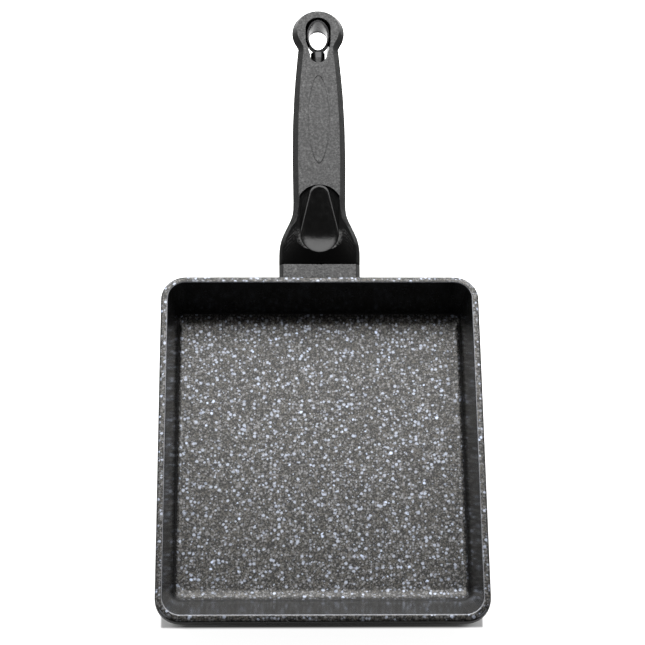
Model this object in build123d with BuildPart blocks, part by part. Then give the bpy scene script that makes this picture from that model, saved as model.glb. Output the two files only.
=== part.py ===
from build123d import *
import os
from math import atan2, cos, degrees, sin, sqrt, tan, radians

# Rectangular rolled-omelette pan: a cast vessel with three steep walls and one sloping
# front wall, and a moulded handle clamped to it by a long rod and a chromed hanging eye.
# Millimetres, +Z up. The origin is on the standing surface, under the middle of the rim.
# The handle points along +Y.

os.makedirs("parts", exist_ok=True)

# Vessel, driving sizes
rim_width = 180.0
rim_length = 208.0
rim_height = 33.0
rim_land = 4.0
rim_corner = 14.0
lip_height = 4.5
lip_round = 1.5
lip_inner_round = 0.6
floor_thickness = 4.0
wall_thickness = 3.6
side_run = 5.6
back_run = 8.0
front_run = 20.3
floor_corner = 4.5
floor_round = 2.5
front_round = 10.0
base_corner = 8.0
base_round = 4.0
pad_height = 0.6
pad_inset = 6.0
fill_root = 1.2

# Boss on the back wall and its tongue
boss_width = 38.0
boss_bottom = 13.5
boss_top = 29.5
boss_stand_off = 1.0
boss_round = 2.0
tongue_width = 26.0
tongue_height = 11.0
tongue_length = 19.0
tongue_round = 1.5
tongue_centre_height = 21.4
insert_outer = 8.0
insert_length = 15.0
insert_lead = 1.0
insert_groove_width = 2.0
insert_groove_depth = 0.5

# Handle frame: it starts on the boss face and rises towards the head
handle_tilt = 6.3
handle_start_height = 30.0

# Handle outline, seen along the normal of its top face
collar_thickness = 7.3
root_half_width = 23.0
root_straight = 13.0
waist_half_width = 15.0
waist_at = 41.0
belly_half_width = 15.25
belly_at = 70.0
neck_half_width = 11.8
neck_at = 139.0
head_radius = 15.2
head_at = 150.7
throat_round = 2.5

# Handle heights above the handle frame
collar_top = 1.2
step_at = 13.0
step_height = 7.0
grip_top = 10.4
root_bottom = -18.3
grip_bottom = -10.9
palm_bottom_at = 100.0
bottom_at_waist = -12.9
waist_bottom_slope = 0.2
head_bottom = -5.6
edge_chamfer = 3.2
root_edge = 2.4
bottom_round = 5.0
under_facing_share = 0.8

# Ridge round the thumb rest, where the shoulders start
ridge_lip_at = 17.5
ridge_lip_half_width = 12.1
ridge_wide_at = 24.3
ridge_wide_half_width = 13.4
ridge_lip_lean = 0.7
shoulder_margin = 1.0

# Thumb rest and its pocket
rest_wide_radius = 11.4
rest_wide_at = 24.3
rest_tip_radius = 5.0
rest_tip_at = 47.3
rest_land_height = 7.4
rest_tip_height = 10.8
scoop_radius = 30.0
scoop_floor_height = 5.5
scoop_tip_height = 10.4
pocket_gap = 0.9
pocket_floor_height = 4.6
pocket_tip_height = 9.4
pocket_side_half_width = 11.8
pocket_side_at = 46.0
pocket_end_at = 52.6
stud_diameter = 4.0
stud_length = 4.5
stud_back_share = 0.9

# Hanging eye and its slot
slot_radius = 7.4
slot_far_at = 152.7
slot_near_at = 145.8
slot_tip_radius = 5.0
slot_tip_at = 135.5
eye_half_width = 5.6
eye_half_length = 8.45
eye_centre_at = 149.75
eye_wall = 1.2
eye_height = 12.2
eye_near_height = 8.8
neck_diameter = 8.0
neck_start = 122.5
neck_bore_depth = 12.0

# Tie rod and washer
rod_diameter = 5.0
thread_clearance = 0.06
rod_bore_clearance = 0.4
rod_point = 0.6
washer_outer = 8.0
washer_thickness = 1.6
washer_clearance = 0.2
washer_slit = 0.9

# Outline drawn in the top face
panel_centre_at = 94.2
panel_half_length = 27.8
panel_half_width = 6.2
panel_line = 0.5
panel_depth = 0.3

# Fits
fit_clearance = 0.25
stud_clearance = 0.1
overrun = 20.0
handle_reach = 40.0

# Worked out from the above
half_width = rim_width / 2
half_length = rim_length / 2
depth = rim_height - floor_thickness
side_slope = side_run / depth
back_slope = back_run / depth
front_slope = front_run / depth
floor_width = rim_width - 2 * (rim_land + side_run)
floor_front = -half_length + rim_land + front_run
floor_back = half_length - rim_land - back_run
opening_width = rim_width - 2 * rim_land
opening_length = rim_length - 2 * rim_land
boss_face = half_length + boss_stand_off

handle_frame = Plane(
    origin=(0, boss_face, handle_start_height),
    x_dir=(1, 0, 0),
    z_dir=(0, -sin(radians(handle_tilt)), cos(radians(handle_tilt))),
)
side_frame = Plane(origin=handle_frame.origin, x_dir=handle_frame.y_dir, z_dir=(1, 0, 0))


handle_up = Axis(handle_frame.origin, handle_frame.z_dir)
handle_along = Axis(handle_frame.origin, handle_frame.y_dir)


def in_handle(x, along, up):
    """A point given across, along and above the handle frame, in the part's frame."""
    return handle_frame.from_local_coords(Vector(x, along, up))


rod_start = Vector(0, boss_face, tongue_centre_height)
head_middle = in_handle(0, head_at, (grip_top + head_bottom) / 2)
rod_direction = (head_middle - rod_start).normalized()
rod_frame = Plane(origin=rod_start, x_dir=(1, 0, 0), z_dir=rod_direction)


def wall_at(slope, height):
    """How far the outer face stands out from the floor edge, at a height."""
    return slope * (height - floor_thickness) + wall_thickness * sqrt(1 + slope**2)


def along_rod(point_along):
    """Distance along the rod of a point whose place is given along the handle."""
    return (in_handle(0, point_along, 0) - rod_start).dot(rod_direction)


def slope_angle(rise, run):
    """Angle in degrees of a line that rises and runs this much."""
    return degrees(atan2(rise, run))


# Vessel: outside, boss, pad, then the cavity
base_width = floor_width + 2 * wall_at(side_slope, pad_height)
base_front = floor_front - wall_at(front_slope, pad_height)
base_back = floor_back + wall_at(back_slope, pad_height)
base_length = base_back - base_front
base_middle = (base_back + base_front) / 2
floor_length = floor_back - floor_front
floor_middle = (floor_back + floor_front) / 2
lip_bottom = rim_height - lip_height

with BuildPart() as cavity:
    with BuildSketch(Plane.XY.offset(floor_thickness)):
        with Locations((0, floor_middle)):
            RectangleRounded(floor_width, floor_length, floor_corner)
    with BuildSketch(Plane.XY.offset(rim_height)):
        RectangleRounded(opening_width, opening_length, rim_corner - rim_land)
    loft()
    fillet(cavity.faces().sort_by(Axis.Z)[0].edges(), floor_round)

wall_angle = radians(slope_angle(depth, front_run))
tangent = front_round * tan(wall_angle / 2)
foot = floor_front + tangent
brow = floor_front - tangent * cos(wall_angle)
brow_height = floor_thickness + tangent * sin(wall_angle)
bow = wall_angle / 2

with BuildPart() as front_fill:
    with BuildSketch(Plane.YZ):
        with BuildLine():
            ThreePointArc(
                (foot, floor_thickness),
                (foot - front_round * sin(bow), floor_thickness + front_round * (1 - cos(bow))),
                (brow, brow_height),
            )
            Polyline(
                (brow, brow_height),
                (brow - fill_root, brow_height),
                (floor_front - fill_root, floor_thickness - fill_root),
                (foot, floor_thickness - fill_root),
                (foot, floor_thickness),
            )
        make_face()
    extrude(amount=floor_width / 2 + fill_root, both=True)

with BuildPart() as pan_body:
    with BuildSketch(Plane.XY.offset(pad_height)):
        with Locations((0, base_middle)):
            RectangleRounded(base_width, base_length, base_corner)
    with BuildSketch(Plane.XY.offset(lip_bottom)):
        RectangleRounded(rim_width, rim_length, rim_corner)
    loft()
    fillet(pan_body.faces().sort_by(Axis.Z)[0].edges(), base_round)
    with BuildSketch(Plane.XY.offset(lip_bottom)):
        RectangleRounded(rim_width, rim_length, rim_corner)
    extrude(amount=lip_height)
    fillet(pan_body.faces().sort_by(Axis.Z)[-1].edges(), lip_round)
    with BuildSketch(Plane.XY):
        with Locations((0, base_middle)):
            RectangleRounded(
                base_width - 2 * pad_inset,
                base_length - 2 * pad_inset,
                base_corner,
            )
    extrude(amount=pad_height)
    with BuildSketch(Plane.XZ.offset(-boss_face)):
        with Locations((0, (boss_top + boss_bottom) / 2)):
            RectangleRounded(boss_width, boss_top - boss_bottom, boss_round)
    extrude(amount=boss_face - floor_back)
    with BuildSketch(rod_frame.offset(-boss_stand_off - rim_land)):
        RectangleRounded(tongue_width, tongue_height, tongue_round)
    extrude(amount=tongue_length + boss_stand_off + rim_land)
    add(cavity.part, mode=Mode.SUBTRACT)
    fillet(pan_body.faces().sort_by(Axis.Z)[-1].inner_wires()[0].edges(), lip_inner_round)
    add(front_fill.part)
    with BuildSketch(rod_frame.offset(tongue_length)):
        Circle(insert_outer / 2)
    extrude(amount=-insert_length - insert_lead, mode=Mode.SUBTRACT)

# Handle: outline from above crossed with the side outline, then shoulders, pocket and bores
with BuildPart() as handle_plan:
    with BuildSketch(handle_frame.offset(-handle_reach)) as handle_plan_sketch:
        with BuildLine():
            Polyline(
                (0, collar_thickness),
                (root_half_width, collar_thickness),
                (root_half_width, root_straight),
            )
            Spline(
                (root_half_width, root_straight),
                (waist_half_width, waist_at),
                tangents=((0, 1), (0, 1)),
            )
            Spline(
                (waist_half_width, waist_at),
                (belly_half_width, belly_at),
                (neck_half_width, neck_at),
            )
            Polyline((neck_half_width, neck_at), (neck_half_width, head_at), (0, head_at))
            mirror(about=Plane.YZ)
        make_face()
        with Locations((0, head_at)):
            Circle(head_radius)
        fillet(handle_plan_sketch.vertices().sort_by(Axis.Y)[-2:], throat_round)
    extrude(amount=2 * handle_reach)

with BuildPart() as grip:
    with BuildSketch(side_frame):
        with BuildLine():
            Polyline(
                (waist_at, bottom_at_waist),
                (waist_at, grip_top),
                (head_at + head_radius + overrun, grip_top),
                (head_at + head_radius + overrun, head_bottom),
                (head_at, head_bottom),
            )
            Spline(
                (head_at, head_bottom),
                (palm_bottom_at, grip_bottom),
                (waist_at, bottom_at_waist),
                tangents=((-1, 0), (-1, -waist_bottom_slope)),
            )
        make_face()
    extrude(amount=root_half_width + overrun, both=True)
    add(handle_plan.part, mode=Mode.INTERSECT)
    top_face = grip.faces().sort_by(handle_up)[-1]
    rim_of_top = top_face.edges().filter_by(Axis.X, reverse=True)
    chamfer(rim_of_top, edge_chamfer)


def plane_between(front_at, front_up, waist_up):
    """The sloping plane through two heights of the handle, one at the waist."""
    front = in_handle(0, front_at, front_up)
    waist = in_handle(0, waist_at, waist_up)
    return Plane(origin=front, x_dir=(1, 0, 0), z_dir=Vector(1, 0, 0).cross(waist - front))


# The shoulders rise in two steps from outside the outline to the ridge
edge_height = grip_top - edge_chamfer
seam_front = collar_top - root_edge - shoulder_margin
seam_waist = edge_height - shoulder_margin
ridge_plane = plane_between(step_at, step_height, grip_top)

with BuildPart() as shoulders:
    for inset in (-shoulder_margin, root_edge):
        front_up = collar_top - root_edge + inset
        row = plane_between(collar_thickness, front_up, edge_height + inset)
        with BuildSketch(row):
            with BuildLine():
                edge = Spline(
                    (root_half_width - inset, 0),
                    (root_half_width - inset, root_straight - collar_thickness),
                    (waist_half_width - inset, waist_at - collar_thickness),
                    tangents=((0, 1), (0, 1)),
                )
                Line(edge @ 0, (0, 0))
                Line(edge @ 1, (0, waist_at - collar_thickness))
                mirror(about=Plane.YZ)
            make_face()
    with BuildSketch(ridge_plane):
        with BuildLine():
            lip = TangentArc(
                (0, 0),
                (ridge_lip_half_width, ridge_lip_at - step_at),
                tangent=(1, 0),
            )
            side = Spline(
                lip @ 1,
                (ridge_wide_half_width, ridge_wide_at - step_at),
                (waist_half_width - edge_chamfer, waist_at - step_at),
                tangents=((1, ridge_lip_lean), (0, 1)),
            )
            Line(side @ 1, (0, waist_at - step_at))
            mirror(about=Plane.YZ)
        make_face()
    loft(ruled=True)

with BuildPart() as handle_blank:
    with BuildSketch(side_frame):
        with BuildLine():
            Polyline(
                (waist_at, bottom_at_waist),
                (waist_at, seam_waist),
                (collar_thickness, seam_front),
                (collar_thickness, root_bottom),
            )
            Spline(
                (collar_thickness, root_bottom),
                (waist_at, bottom_at_waist),
                tangents=((1, 0), (1, waist_bottom_slope)),
            )
        make_face()
    extrude(amount=root_half_width + overrun, both=True)
    add(shoulders.part)
    add(handle_plan.part, mode=Mode.INTERSECT)
    add(grip.part)
    under = (
        handle_blank.faces()
        .filter_by(lambda f: f.normal_at().dot(handle_frame.z_dir) < -under_facing_share)
        .edges()
        .filter_by(lambda e: abs(e.center().X) > head_radius - bottom_round)
    )
    fillet(under, bottom_round)


# Pocket for the thumb rest, and the rest itself with its two studs
pocket_radius = rest_wide_radius + pocket_gap
pocket_slope = (pocket_tip_height - pocket_floor_height) / (pocket_end_at - rest_wide_at)
stud_places = [rest_wide_at, rest_tip_at * stud_back_share]


def pocket_floor_at(along):
    """Height of the pocket's floor at this distance along the handle."""
    return pocket_floor_height + pocket_slope * max(0, along - rest_wide_at)


with BuildPart() as pocket:
    with BuildSketch(side_frame):
        with BuildLine():
            Polyline(
                (0, pocket_floor_height),
                (rest_wide_at, pocket_floor_height),
                (pocket_end_at, pocket_tip_height),
                (pocket_end_at, grip_top + overrun),
                (0, grip_top + overrun),
                close=True,
            )
        make_face()
    extrude(amount=root_half_width, both=True)
    with BuildSketch(handle_frame):
        with BuildLine():
            ThreePointArc(
                (-pocket_radius, rest_wide_at),
                (0, rest_wide_at - pocket_radius),
                (pocket_radius, rest_wide_at),
            )
            Line((pocket_radius, rest_wide_at), (pocket_side_half_width, pocket_side_at))
            ThreePointArc(
                (pocket_side_half_width, pocket_side_at),
                (0, pocket_end_at),
                (-pocket_side_half_width, pocket_side_at),
            )
            Line((-pocket_side_half_width, pocket_side_at), (-pocket_radius, rest_wide_at))
        make_face()
    extrude(amount=handle_reach, mode=Mode.INTERSECT)

scoop_run = rest_tip_at + rest_tip_radius - rest_wide_at
scoop_rise = scoop_tip_height - scoop_floor_height
scoop_centre = in_handle(0, rest_wide_at, scoop_floor_height + scoop_radius)
scoop_end = in_handle(0, rest_wide_at + scoop_run, scoop_tip_height + scoop_radius)
scoop_frame = Plane(origin=scoop_centre, x_dir=(1, 0, 0), z_dir=scoop_end - scoop_centre)

with BuildPart() as scoop:
    with Locations(scoop_centre):
        Sphere(scoop_radius)
    with BuildSketch(scoop_frame):
        Circle(scoop_radius)
    extrude(amount=scoop_run + overrun)

with BuildPart() as thumb_rest:
    with BuildSketch(side_frame):
        with BuildLine():
            Polyline(
                (0, pocket_floor_height),
                (rest_wide_at, pocket_floor_height),
                (pocket_end_at, pocket_tip_height),
                (pocket_end_at, rest_tip_height),
                (rest_wide_at, rest_land_height),
                (0, rest_land_height),
                close=True,
            )
        make_face()
    extrude(amount=root_half_width, both=True)
    with BuildSketch(handle_frame) as rest_outline:
        with Locations((0, rest_wide_at)):
            Circle(rest_wide_radius)
        with Locations((0, rest_tip_at)):
            Circle(rest_tip_radius)
        make_hull()
    extrude(amount=handle_reach, mode=Mode.INTERSECT)
    add(scoop.part, mode=Mode.SUBTRACT)
    for along in stud_places:
        with BuildSketch(handle_frame.offset(pocket_floor_at(along) - stud_length)):
            with Locations((0, along)):
                Circle(stud_diameter / 2)
        extrude(until=Until.NEXT)
thumb_rest.part.label = "thumb_rest"

# Bores, socket, slot and engraved line in the handle
neck_start_along = along_rod(neck_start)
seat_along = neck_start_along - washer_thickness
eye_up = (grip_top + head_bottom) / 2

with BuildPart() as handle_cuts:
    add(pocket.part)
    for along in stud_places:
        with BuildSketch(handle_frame.offset(pocket_floor_at(along) - stud_length - fit_clearance)):
            with Locations((0, along)):
                Circle(stud_diameter / 2 + stud_clearance)
        extrude(amount=stud_length + fit_clearance + stud_diameter / 2)
    with BuildSketch(rod_frame):
        Circle(rod_diameter / 2 + rod_bore_clearance)
    extrude(amount=seat_along + washer_thickness)
    with BuildSketch(rod_frame):
        RectangleRounded(
            tongue_width + 2 * fit_clearance,
            tongue_height + 2 * fit_clearance,
            tongue_round + fit_clearance,
        )
    extrude(amount=tongue_length + fit_clearance)
    with BuildSketch(rod_frame.offset(seat_along)):
        Circle(neck_diameter / 2 + fit_clearance)
    extrude(amount=slot_tip_at - neck_start + washer_thickness)
    with BuildSketch(handle_frame.offset(-handle_reach)):
        with Locations((0, slot_far_at), (0, slot_near_at)):
            Circle(slot_radius)
        with Locations((0, slot_tip_at)):
            Circle(slot_tip_radius)
        make_hull()
    extrude(amount=2 * handle_reach)
    with BuildSketch(handle_frame.offset(grip_top - panel_depth)):
        with Locations((0, panel_centre_at)):
            Ellipse(panel_half_width, panel_half_length)
            Ellipse(
                panel_half_width - panel_line,
                panel_half_length - panel_line,
                mode=Mode.SUBTRACT,
            )
    extrude(amount=overrun)

with BuildPart() as handle_body:
    add(handle_blank.part)
    add(handle_cuts.part, mode=Mode.SUBTRACT)
handle_body.part.label = "handle_body"

# Flame guard: a collar round the tongue, flush with the root of the handle
with BuildPart() as flame_guard:
    with BuildSketch(side_frame):
        with BuildLine():
            Polyline(
                (-overrun, root_bottom),
                (-overrun, collar_top),
                (collar_thickness, collar_top),
                (collar_thickness, root_bottom),
                close=True,
            )
        make_face()
    extrude(amount=root_half_width, both=True)
    split(bisect_by=Plane.XZ.offset(-boss_face), keep=Keep.BOTTOM)
    chamfer(
        flame_guard.edges().filter_by(handle_along).sort_by(handle_up)[-2:],
        root_edge,
    )
    fillet(
        flame_guard.edges().filter_by(handle_along).sort_by(handle_up)[:2],
        bottom_round,
    )
    with BuildSketch(rod_frame.offset(-overrun)):
        RectangleRounded(
            tongue_width + 2 * fit_clearance,
            tongue_height + 2 * fit_clearance,
            tongue_round + fit_clearance,
        )
    extrude(amount=3 * overrun, mode=Mode.SUBTRACT)
flame_guard.part.label = "flame_guard"

# Hanging eye: an oval loop that narrows in height towards a round neck
eye_near = eye_centre_at - eye_half_length - eye_wall
eye_far = eye_centre_at + eye_half_length + eye_wall

with BuildPart() as hang_eye:
    with BuildSketch(side_frame):
        with BuildLine():
            Polyline(
                (eye_near, eye_up - eye_near_height / 2),
                (eye_near, eye_up + eye_near_height / 2),
                (eye_far, eye_up + eye_height / 2),
                (eye_far, eye_up - eye_height / 2),
                close=True,
            )
        make_face()
    extrude(amount=eye_half_width + eye_wall, both=True)
    with BuildSketch(handle_frame.offset(-handle_reach)):
        with Locations((0, eye_centre_at)):
            Ellipse(eye_half_width + eye_wall, eye_half_length + eye_wall)
    extrude(amount=2 * handle_reach, mode=Mode.INTERSECT)
    with BuildSketch(rod_frame.offset(neck_start_along)):
        Circle(neck_diameter / 2)
    extrude(amount=eye_near - neck_start + eye_wall + eye_half_width / 2)
    with BuildSketch(handle_frame.offset(-handle_reach)):
        with Locations((0, eye_centre_at)):
            Ellipse(eye_half_width, eye_half_length)
    extrude(amount=2 * handle_reach, mode=Mode.SUBTRACT)
    with BuildSketch(rod_frame.offset(neck_start_along)):
        Circle(rod_diameter / 2 + thread_clearance)
    extrude(amount=neck_bore_depth, mode=Mode.SUBTRACT)
hang_eye.part.label = "hang_eye"

# Threaded insert, tie rod and spring washer on one axis
insert_start = tongue_length - insert_length

with BuildPart() as threaded_insert:
    with BuildSketch(rod_frame.offset(insert_start)):
        Circle(insert_outer / 2)
        Circle(rod_diameter / 2 + thread_clearance, mode=Mode.SUBTRACT)
    extrude(amount=insert_length)
    with BuildSketch(rod_frame.offset(insert_start + (insert_length - insert_groove_width) / 2)):
        Circle(insert_outer / 2)
        Circle(insert_outer / 2 - insert_groove_depth, mode=Mode.SUBTRACT)
    extrude(amount=insert_groove_width, mode=Mode.SUBTRACT)
threaded_insert.part.label = "threaded_insert"

rod_front = insert_start + insert_lead
rod_back = neck_start_along + neck_bore_depth - insert_lead

with BuildPart() as tie_rod:
    with BuildSketch(rod_frame.offset(rod_front)):
        Circle(rod_diameter / 2)
    extrude(amount=rod_back - rod_front)
    chamfer(tie_rod.edges().filter_by(GeomType.CIRCLE), rod_point)
tie_rod.part.label = "tie_rod"

with BuildPart() as spring_washer:
    with BuildSketch(rod_frame.offset(seat_along)):
        Circle(washer_outer / 2)
        Circle(rod_diameter / 2 + washer_clearance, mode=Mode.SUBTRACT)
        with Locations((0, washer_outer / 2)):
            Rectangle(washer_slit, washer_outer, mode=Mode.SUBTRACT)
    extrude(amount=washer_thickness)
spring_washer.part.label = "spring_washer"
pan_body.part.label = "pan_body"

pieces = [
    pan_body,
    threaded_insert,
    flame_guard,
    handle_body,
    thumb_rest,
    tie_rod,
    spring_washer,
    hang_eye,
]
for piece in pieces:
    export_step(piece.part, f"parts/{piece.part.label}.step")
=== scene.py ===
"""Looks of a rectangular rolled-omelette pan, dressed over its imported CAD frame.

Metres, in the CAD frame: the origin is on the standing surface under the middle of the
rim, +Y runs towards the handle and +Z is up. The handle's own sizes are given across it,
along it and above it, in a frame that starts on the boss and rises with the handle.
"""

import logging
from dataclasses import dataclass
from enum import Enum
from functools import reduce
from math import atan2, cos, degrees, pi, radians, sin, sqrt, tan
from typing import Any, Callable, Sequence

import bmesh
import bpy
from bmesh.types import BMEdge, BMFace
from bpy.types import Material, Object
from mathutils import Matrix, Vector


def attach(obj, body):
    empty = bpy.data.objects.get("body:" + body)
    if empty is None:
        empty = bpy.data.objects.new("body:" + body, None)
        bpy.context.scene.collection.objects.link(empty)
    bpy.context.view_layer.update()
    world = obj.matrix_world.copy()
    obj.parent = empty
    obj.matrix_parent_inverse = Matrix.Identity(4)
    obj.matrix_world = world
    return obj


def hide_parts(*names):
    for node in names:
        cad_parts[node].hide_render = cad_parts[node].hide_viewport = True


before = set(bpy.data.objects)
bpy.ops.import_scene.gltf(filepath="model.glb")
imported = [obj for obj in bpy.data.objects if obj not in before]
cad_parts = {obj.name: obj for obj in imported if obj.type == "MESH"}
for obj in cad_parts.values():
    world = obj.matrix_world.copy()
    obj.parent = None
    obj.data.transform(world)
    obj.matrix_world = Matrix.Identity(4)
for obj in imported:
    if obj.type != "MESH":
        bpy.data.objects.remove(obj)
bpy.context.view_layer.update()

LOG = logging.getLogger("omelette_pan")
MM = 0.001
HAIR = 0.01 * MM  # shorter than any edge of the pan
Point = tuple[float, float, float]
Flat = tuple[float, float]
Colour = tuple[float, float, float, float]
Range = tuple[float, float, float, float]  # a start and an end, and what each becomes
SOCKET: Flat = (26.5 * MM, 11.5 * MM)  # the hole round the tongue, across and up


# Bench: selecting, drawing, joining and cutting with Blender's own tools


def take(*pieces: Object) -> Object:
    """Select only these pieces and make the first one active.

    Args:
        pieces: The pieces to select.

    Returns:
        The first piece.
    """
    bpy.ops.object.select_all(action="DESELECT")
    for piece in pieces:
        piece.select_set(True)
    bpy.context.view_layer.objects.active = pieces[0]
    return pieces[0]


def open_mesh(piece: Object) -> None:
    """Enter edit mode on one piece, in vertex mode, with nothing selected.

    Args:
        piece: The piece to edit.
    """
    take(piece)
    bpy.ops.object.mode_set(mode="EDIT")
    bpy.ops.mesh.select_mode(type="VERT")
    bpy.ops.mesh.select_all(action="DESELECT")


def close_mesh() -> None:
    """Leave edit mode."""
    bpy.ops.object.mode_set(mode="OBJECT")


class Kind(Enum):
    """What is selected in a mesh."""

    VERT = "verts"
    EDGE = "edges"
    FACE = "faces"


def pick(piece: Object, kind: Kind, test: Callable[[Any], bool]) -> None:
    """Select, in edit mode, only the vertices, edges or faces that pass a test.

    Args:
        piece: The piece in edit mode.
        kind: What is selected.
        test: Takes a vertex, an edge or a face.
    """
    bpy.ops.mesh.select_mode(type=kind.name)
    bpy.ops.mesh.select_all(action="DESELECT")
    mesh = bmesh.from_edit_mesh(piece.data)
    for element in getattr(mesh, kind.value):
        element.select_set(test(element))
    if kind is Kind.VERT:
        mesh.select_flush_mode()
    bmesh.update_edit_mesh(piece.data)


def is_long(edge: BMEdge, length: float) -> bool:
    """Whether an edge runs along Y over more than a length."""
    return abs(edge.verts[0].co.y - edge.verts[1].co.y) > length


def is_crease(edge: BMEdge, sharpness: float, test: Callable[[Vector], bool]) -> bool:
    """Whether an edge is sharp and its middle passes a test.

    Args:
        edge: The edge.
        sharpness: The least angle between its two faces, in degrees.
        test: Takes the edge's middle.

    Returns:
        Whether both hold.
    """
    if len(edge.link_faces) != 2:
        return False
    middle = (edge.verts[0].co + edge.verts[1].co) / 2
    return edge.calc_face_angle(0) > radians(sharpness) and test(middle)


def pick_groups(piece: Object, *names: str) -> None:
    """Select, in edit mode, only the vertices of these groups.

    Args:
        piece: The piece in edit mode.
        names: The groups' names.
    """
    bpy.ops.mesh.select_mode(type="VERT")
    bpy.ops.mesh.select_all(action="DESELECT")
    for name in names:
        piece.vertex_groups.active = piece.vertex_groups[name]
        bpy.ops.object.vertex_group_select()


def bridge(piece: Object, first: str, second: str) -> None:
    """Join two edge loops, named as vertex groups, with a band of faces."""
    pick_groups(piece, first, second)
    bpy.ops.mesh.bridge_edge_loops()


def close_across(piece: Object, ring: str) -> None:
    """Close a ring, in edit mode, with a band from its right half to its left half.

    Args:
        piece: The piece in edit mode.
        ring: The ring's vertex group.
    """
    pick_groups(piece, ring)
    mesh = bmesh.from_edit_mesh(piece.data)
    sides = [e for e in mesh.edges if e.select and e.verts[0].co.x * e.verts[1].co.x > 0]
    bpy.ops.mesh.select_mode(type="EDGE")
    bpy.ops.mesh.select_all(action="DESELECT")
    for edge in sides:
        edge.select_set(True)
    bmesh.update_edit_mesh(piece.data)
    bpy.ops.mesh.bridge_edge_loops()


def draw_curve(name: str, points: Sequence[Point], radius: float = 0.0) -> Object:
    """Draw a closed line of straight runs as a curve and make it a mesh.

    Args:
        name: The line's name.
        points: The points of the line, in metres.
        radius: The line's own radius, where it is a tube.

    Returns:
        The edge chain or tube.
    """
    curve = bpy.data.curves.new(name, "CURVE")
    curve.dimensions = "3D"
    curve.bevel_depth = radius
    curve.bevel_resolution = 2
    spline = curve.splines.new("POLY")
    spline.points.add(len(points) - 1)
    for point, place in zip(spline.points, points):
        point.co = (*place, 1)
    spline.use_cyclic_u = True
    line = bpy.data.objects.new(name, curve)
    bpy.context.scene.collection.objects.link(line)
    take(line)
    bpy.ops.object.convert(target="MESH")
    return bpy.context.object


def draw_ring(name: str, points: Sequence[Point]) -> Object:
    """Draw a closed edge chain and put it in a vertex group of its own name.

    Args:
        name: The ring's name.
        points: Its points, in metres.

    Returns:
        The edge chain.
    """
    line = draw_curve(name, points)
    line.vertex_groups.new(name=name).add(range(len(points)), 1, "REPLACE")
    return line


def settle(piece: Object, move: Matrix) -> Object:
    """Move a piece, with its new place in its mesh.

    Args:
        piece: The piece to move.
        move: The move, turn and scale.

    Returns:
        The piece.
    """
    take(piece)
    piece.matrix_world = move
    bpy.ops.object.transform_apply(location=True, rotation=True, scale=True)
    return piece


def add_block(name: str, size: Point, centre: Point = (0, 0, 0)) -> Object:
    """Add a block.

    Args:
        name: The block's name.
        size: Its size along each axis.
        centre: Its middle.

    Returns:
        The block, with its size in its mesh.
    """
    bpy.ops.object.select_all(action="DESELECT")
    bpy.ops.mesh.primitive_cube_add(size=1)
    piece = bpy.context.object
    piece.name = name
    return settle(piece, Matrix.Translation(centre) @ Matrix.Diagonal((*size, 1)))


def join(name: str, pieces: Sequence[Object]) -> Object:
    """Join several pieces to one and name it.

    Args:
        name: The name of the whole.
        pieces: The pieces to join.

    Returns:
        The joined piece.
    """
    piece = take(*pieces)
    bpy.ops.object.join()
    piece.name = name
    piece.data.name = name
    return piece


def tidy_mesh(piece: Object) -> Object:
    """Merge a piece's doubles and turn its faces outwards.

    Args:
        piece: The piece to tidy.

    Returns:
        The piece.
    """
    open_mesh(piece)
    bpy.ops.mesh.select_all(action="SELECT")
    bpy.ops.mesh.remove_doubles(threshold=HAIR / 5)
    bpy.ops.mesh.normals_make_consistent(inside=False)
    close_mesh()
    return piece


def stack(name: str, rings: dict[str, Sequence[Point]], caps: tuple[str, str]) -> Object:
    """Build a closed solid from rings of points, first to last.

    Args:
        name: The name of the piece.
        rings: Each ring's points by its name, all of one count and none on the middle
            plane, so that the first and the last can be closed from side to side.
        caps: The names of the two rings to close.

    Returns:
        The solid.
    """
    piece = join(name, [draw_ring(ring, points) for ring, points in rings.items()])
    open_mesh(piece)
    names = list(rings)
    for first, second in zip(names, names[1:]):
        bridge(piece, first, second)
    for ring in caps:
        close_across(piece, ring)
    close_mesh()
    return tidy_mesh(piece)


class Cut(Enum):
    """What a boolean does with its second piece."""

    TAKE_AWAY = "DIFFERENCE"
    ADD = "UNION"
    KEEP_COMMON = "INTERSECT"


def combine(piece: Object, other: Object, cut: Cut) -> Object:
    """Apply a boolean of two pieces and delete the second one.

    Args:
        piece: The piece that stays.
        other: The piece that is used up.
        cut: What is done with it.

    Returns:
        The piece that stays.
    """
    take(piece)
    modifier = piece.modifiers.new("combine", "BOOLEAN")
    modifier.operation = cut.value
    modifier.solver = "EXACT"
    modifier.object = other
    bpy.ops.object.modifier_apply(modifier=modifier.name)
    bpy.data.objects.remove(other)
    return piece


def soften(width: float, steps: int) -> None:
    """Round the selected edges in edit mode."""
    bpy.ops.mesh.bevel(
        offset=width, segments=steps, profile=0.5, affect="EDGES", clamp_overlap=True
    )


def smooth(piece: Object, angle: float) -> Object:
    """Shade a piece smooth up to an angle, with flat faces kept flat.

    Args:
        piece: The piece to shade.
        angle: The angle in degrees past which an edge stays sharp.

    Returns:
        The piece.
    """
    take(piece)
    bpy.ops.object.shade_smooth_by_angle(angle=radians(angle))
    modifier = piece.modifiers.new("weights", "WEIGHTED_NORMAL")
    modifier.keep_sharp = True
    bpy.ops.object.modifier_apply(modifier=modifier.name)
    piece.vertex_groups.clear()
    return piece


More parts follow.
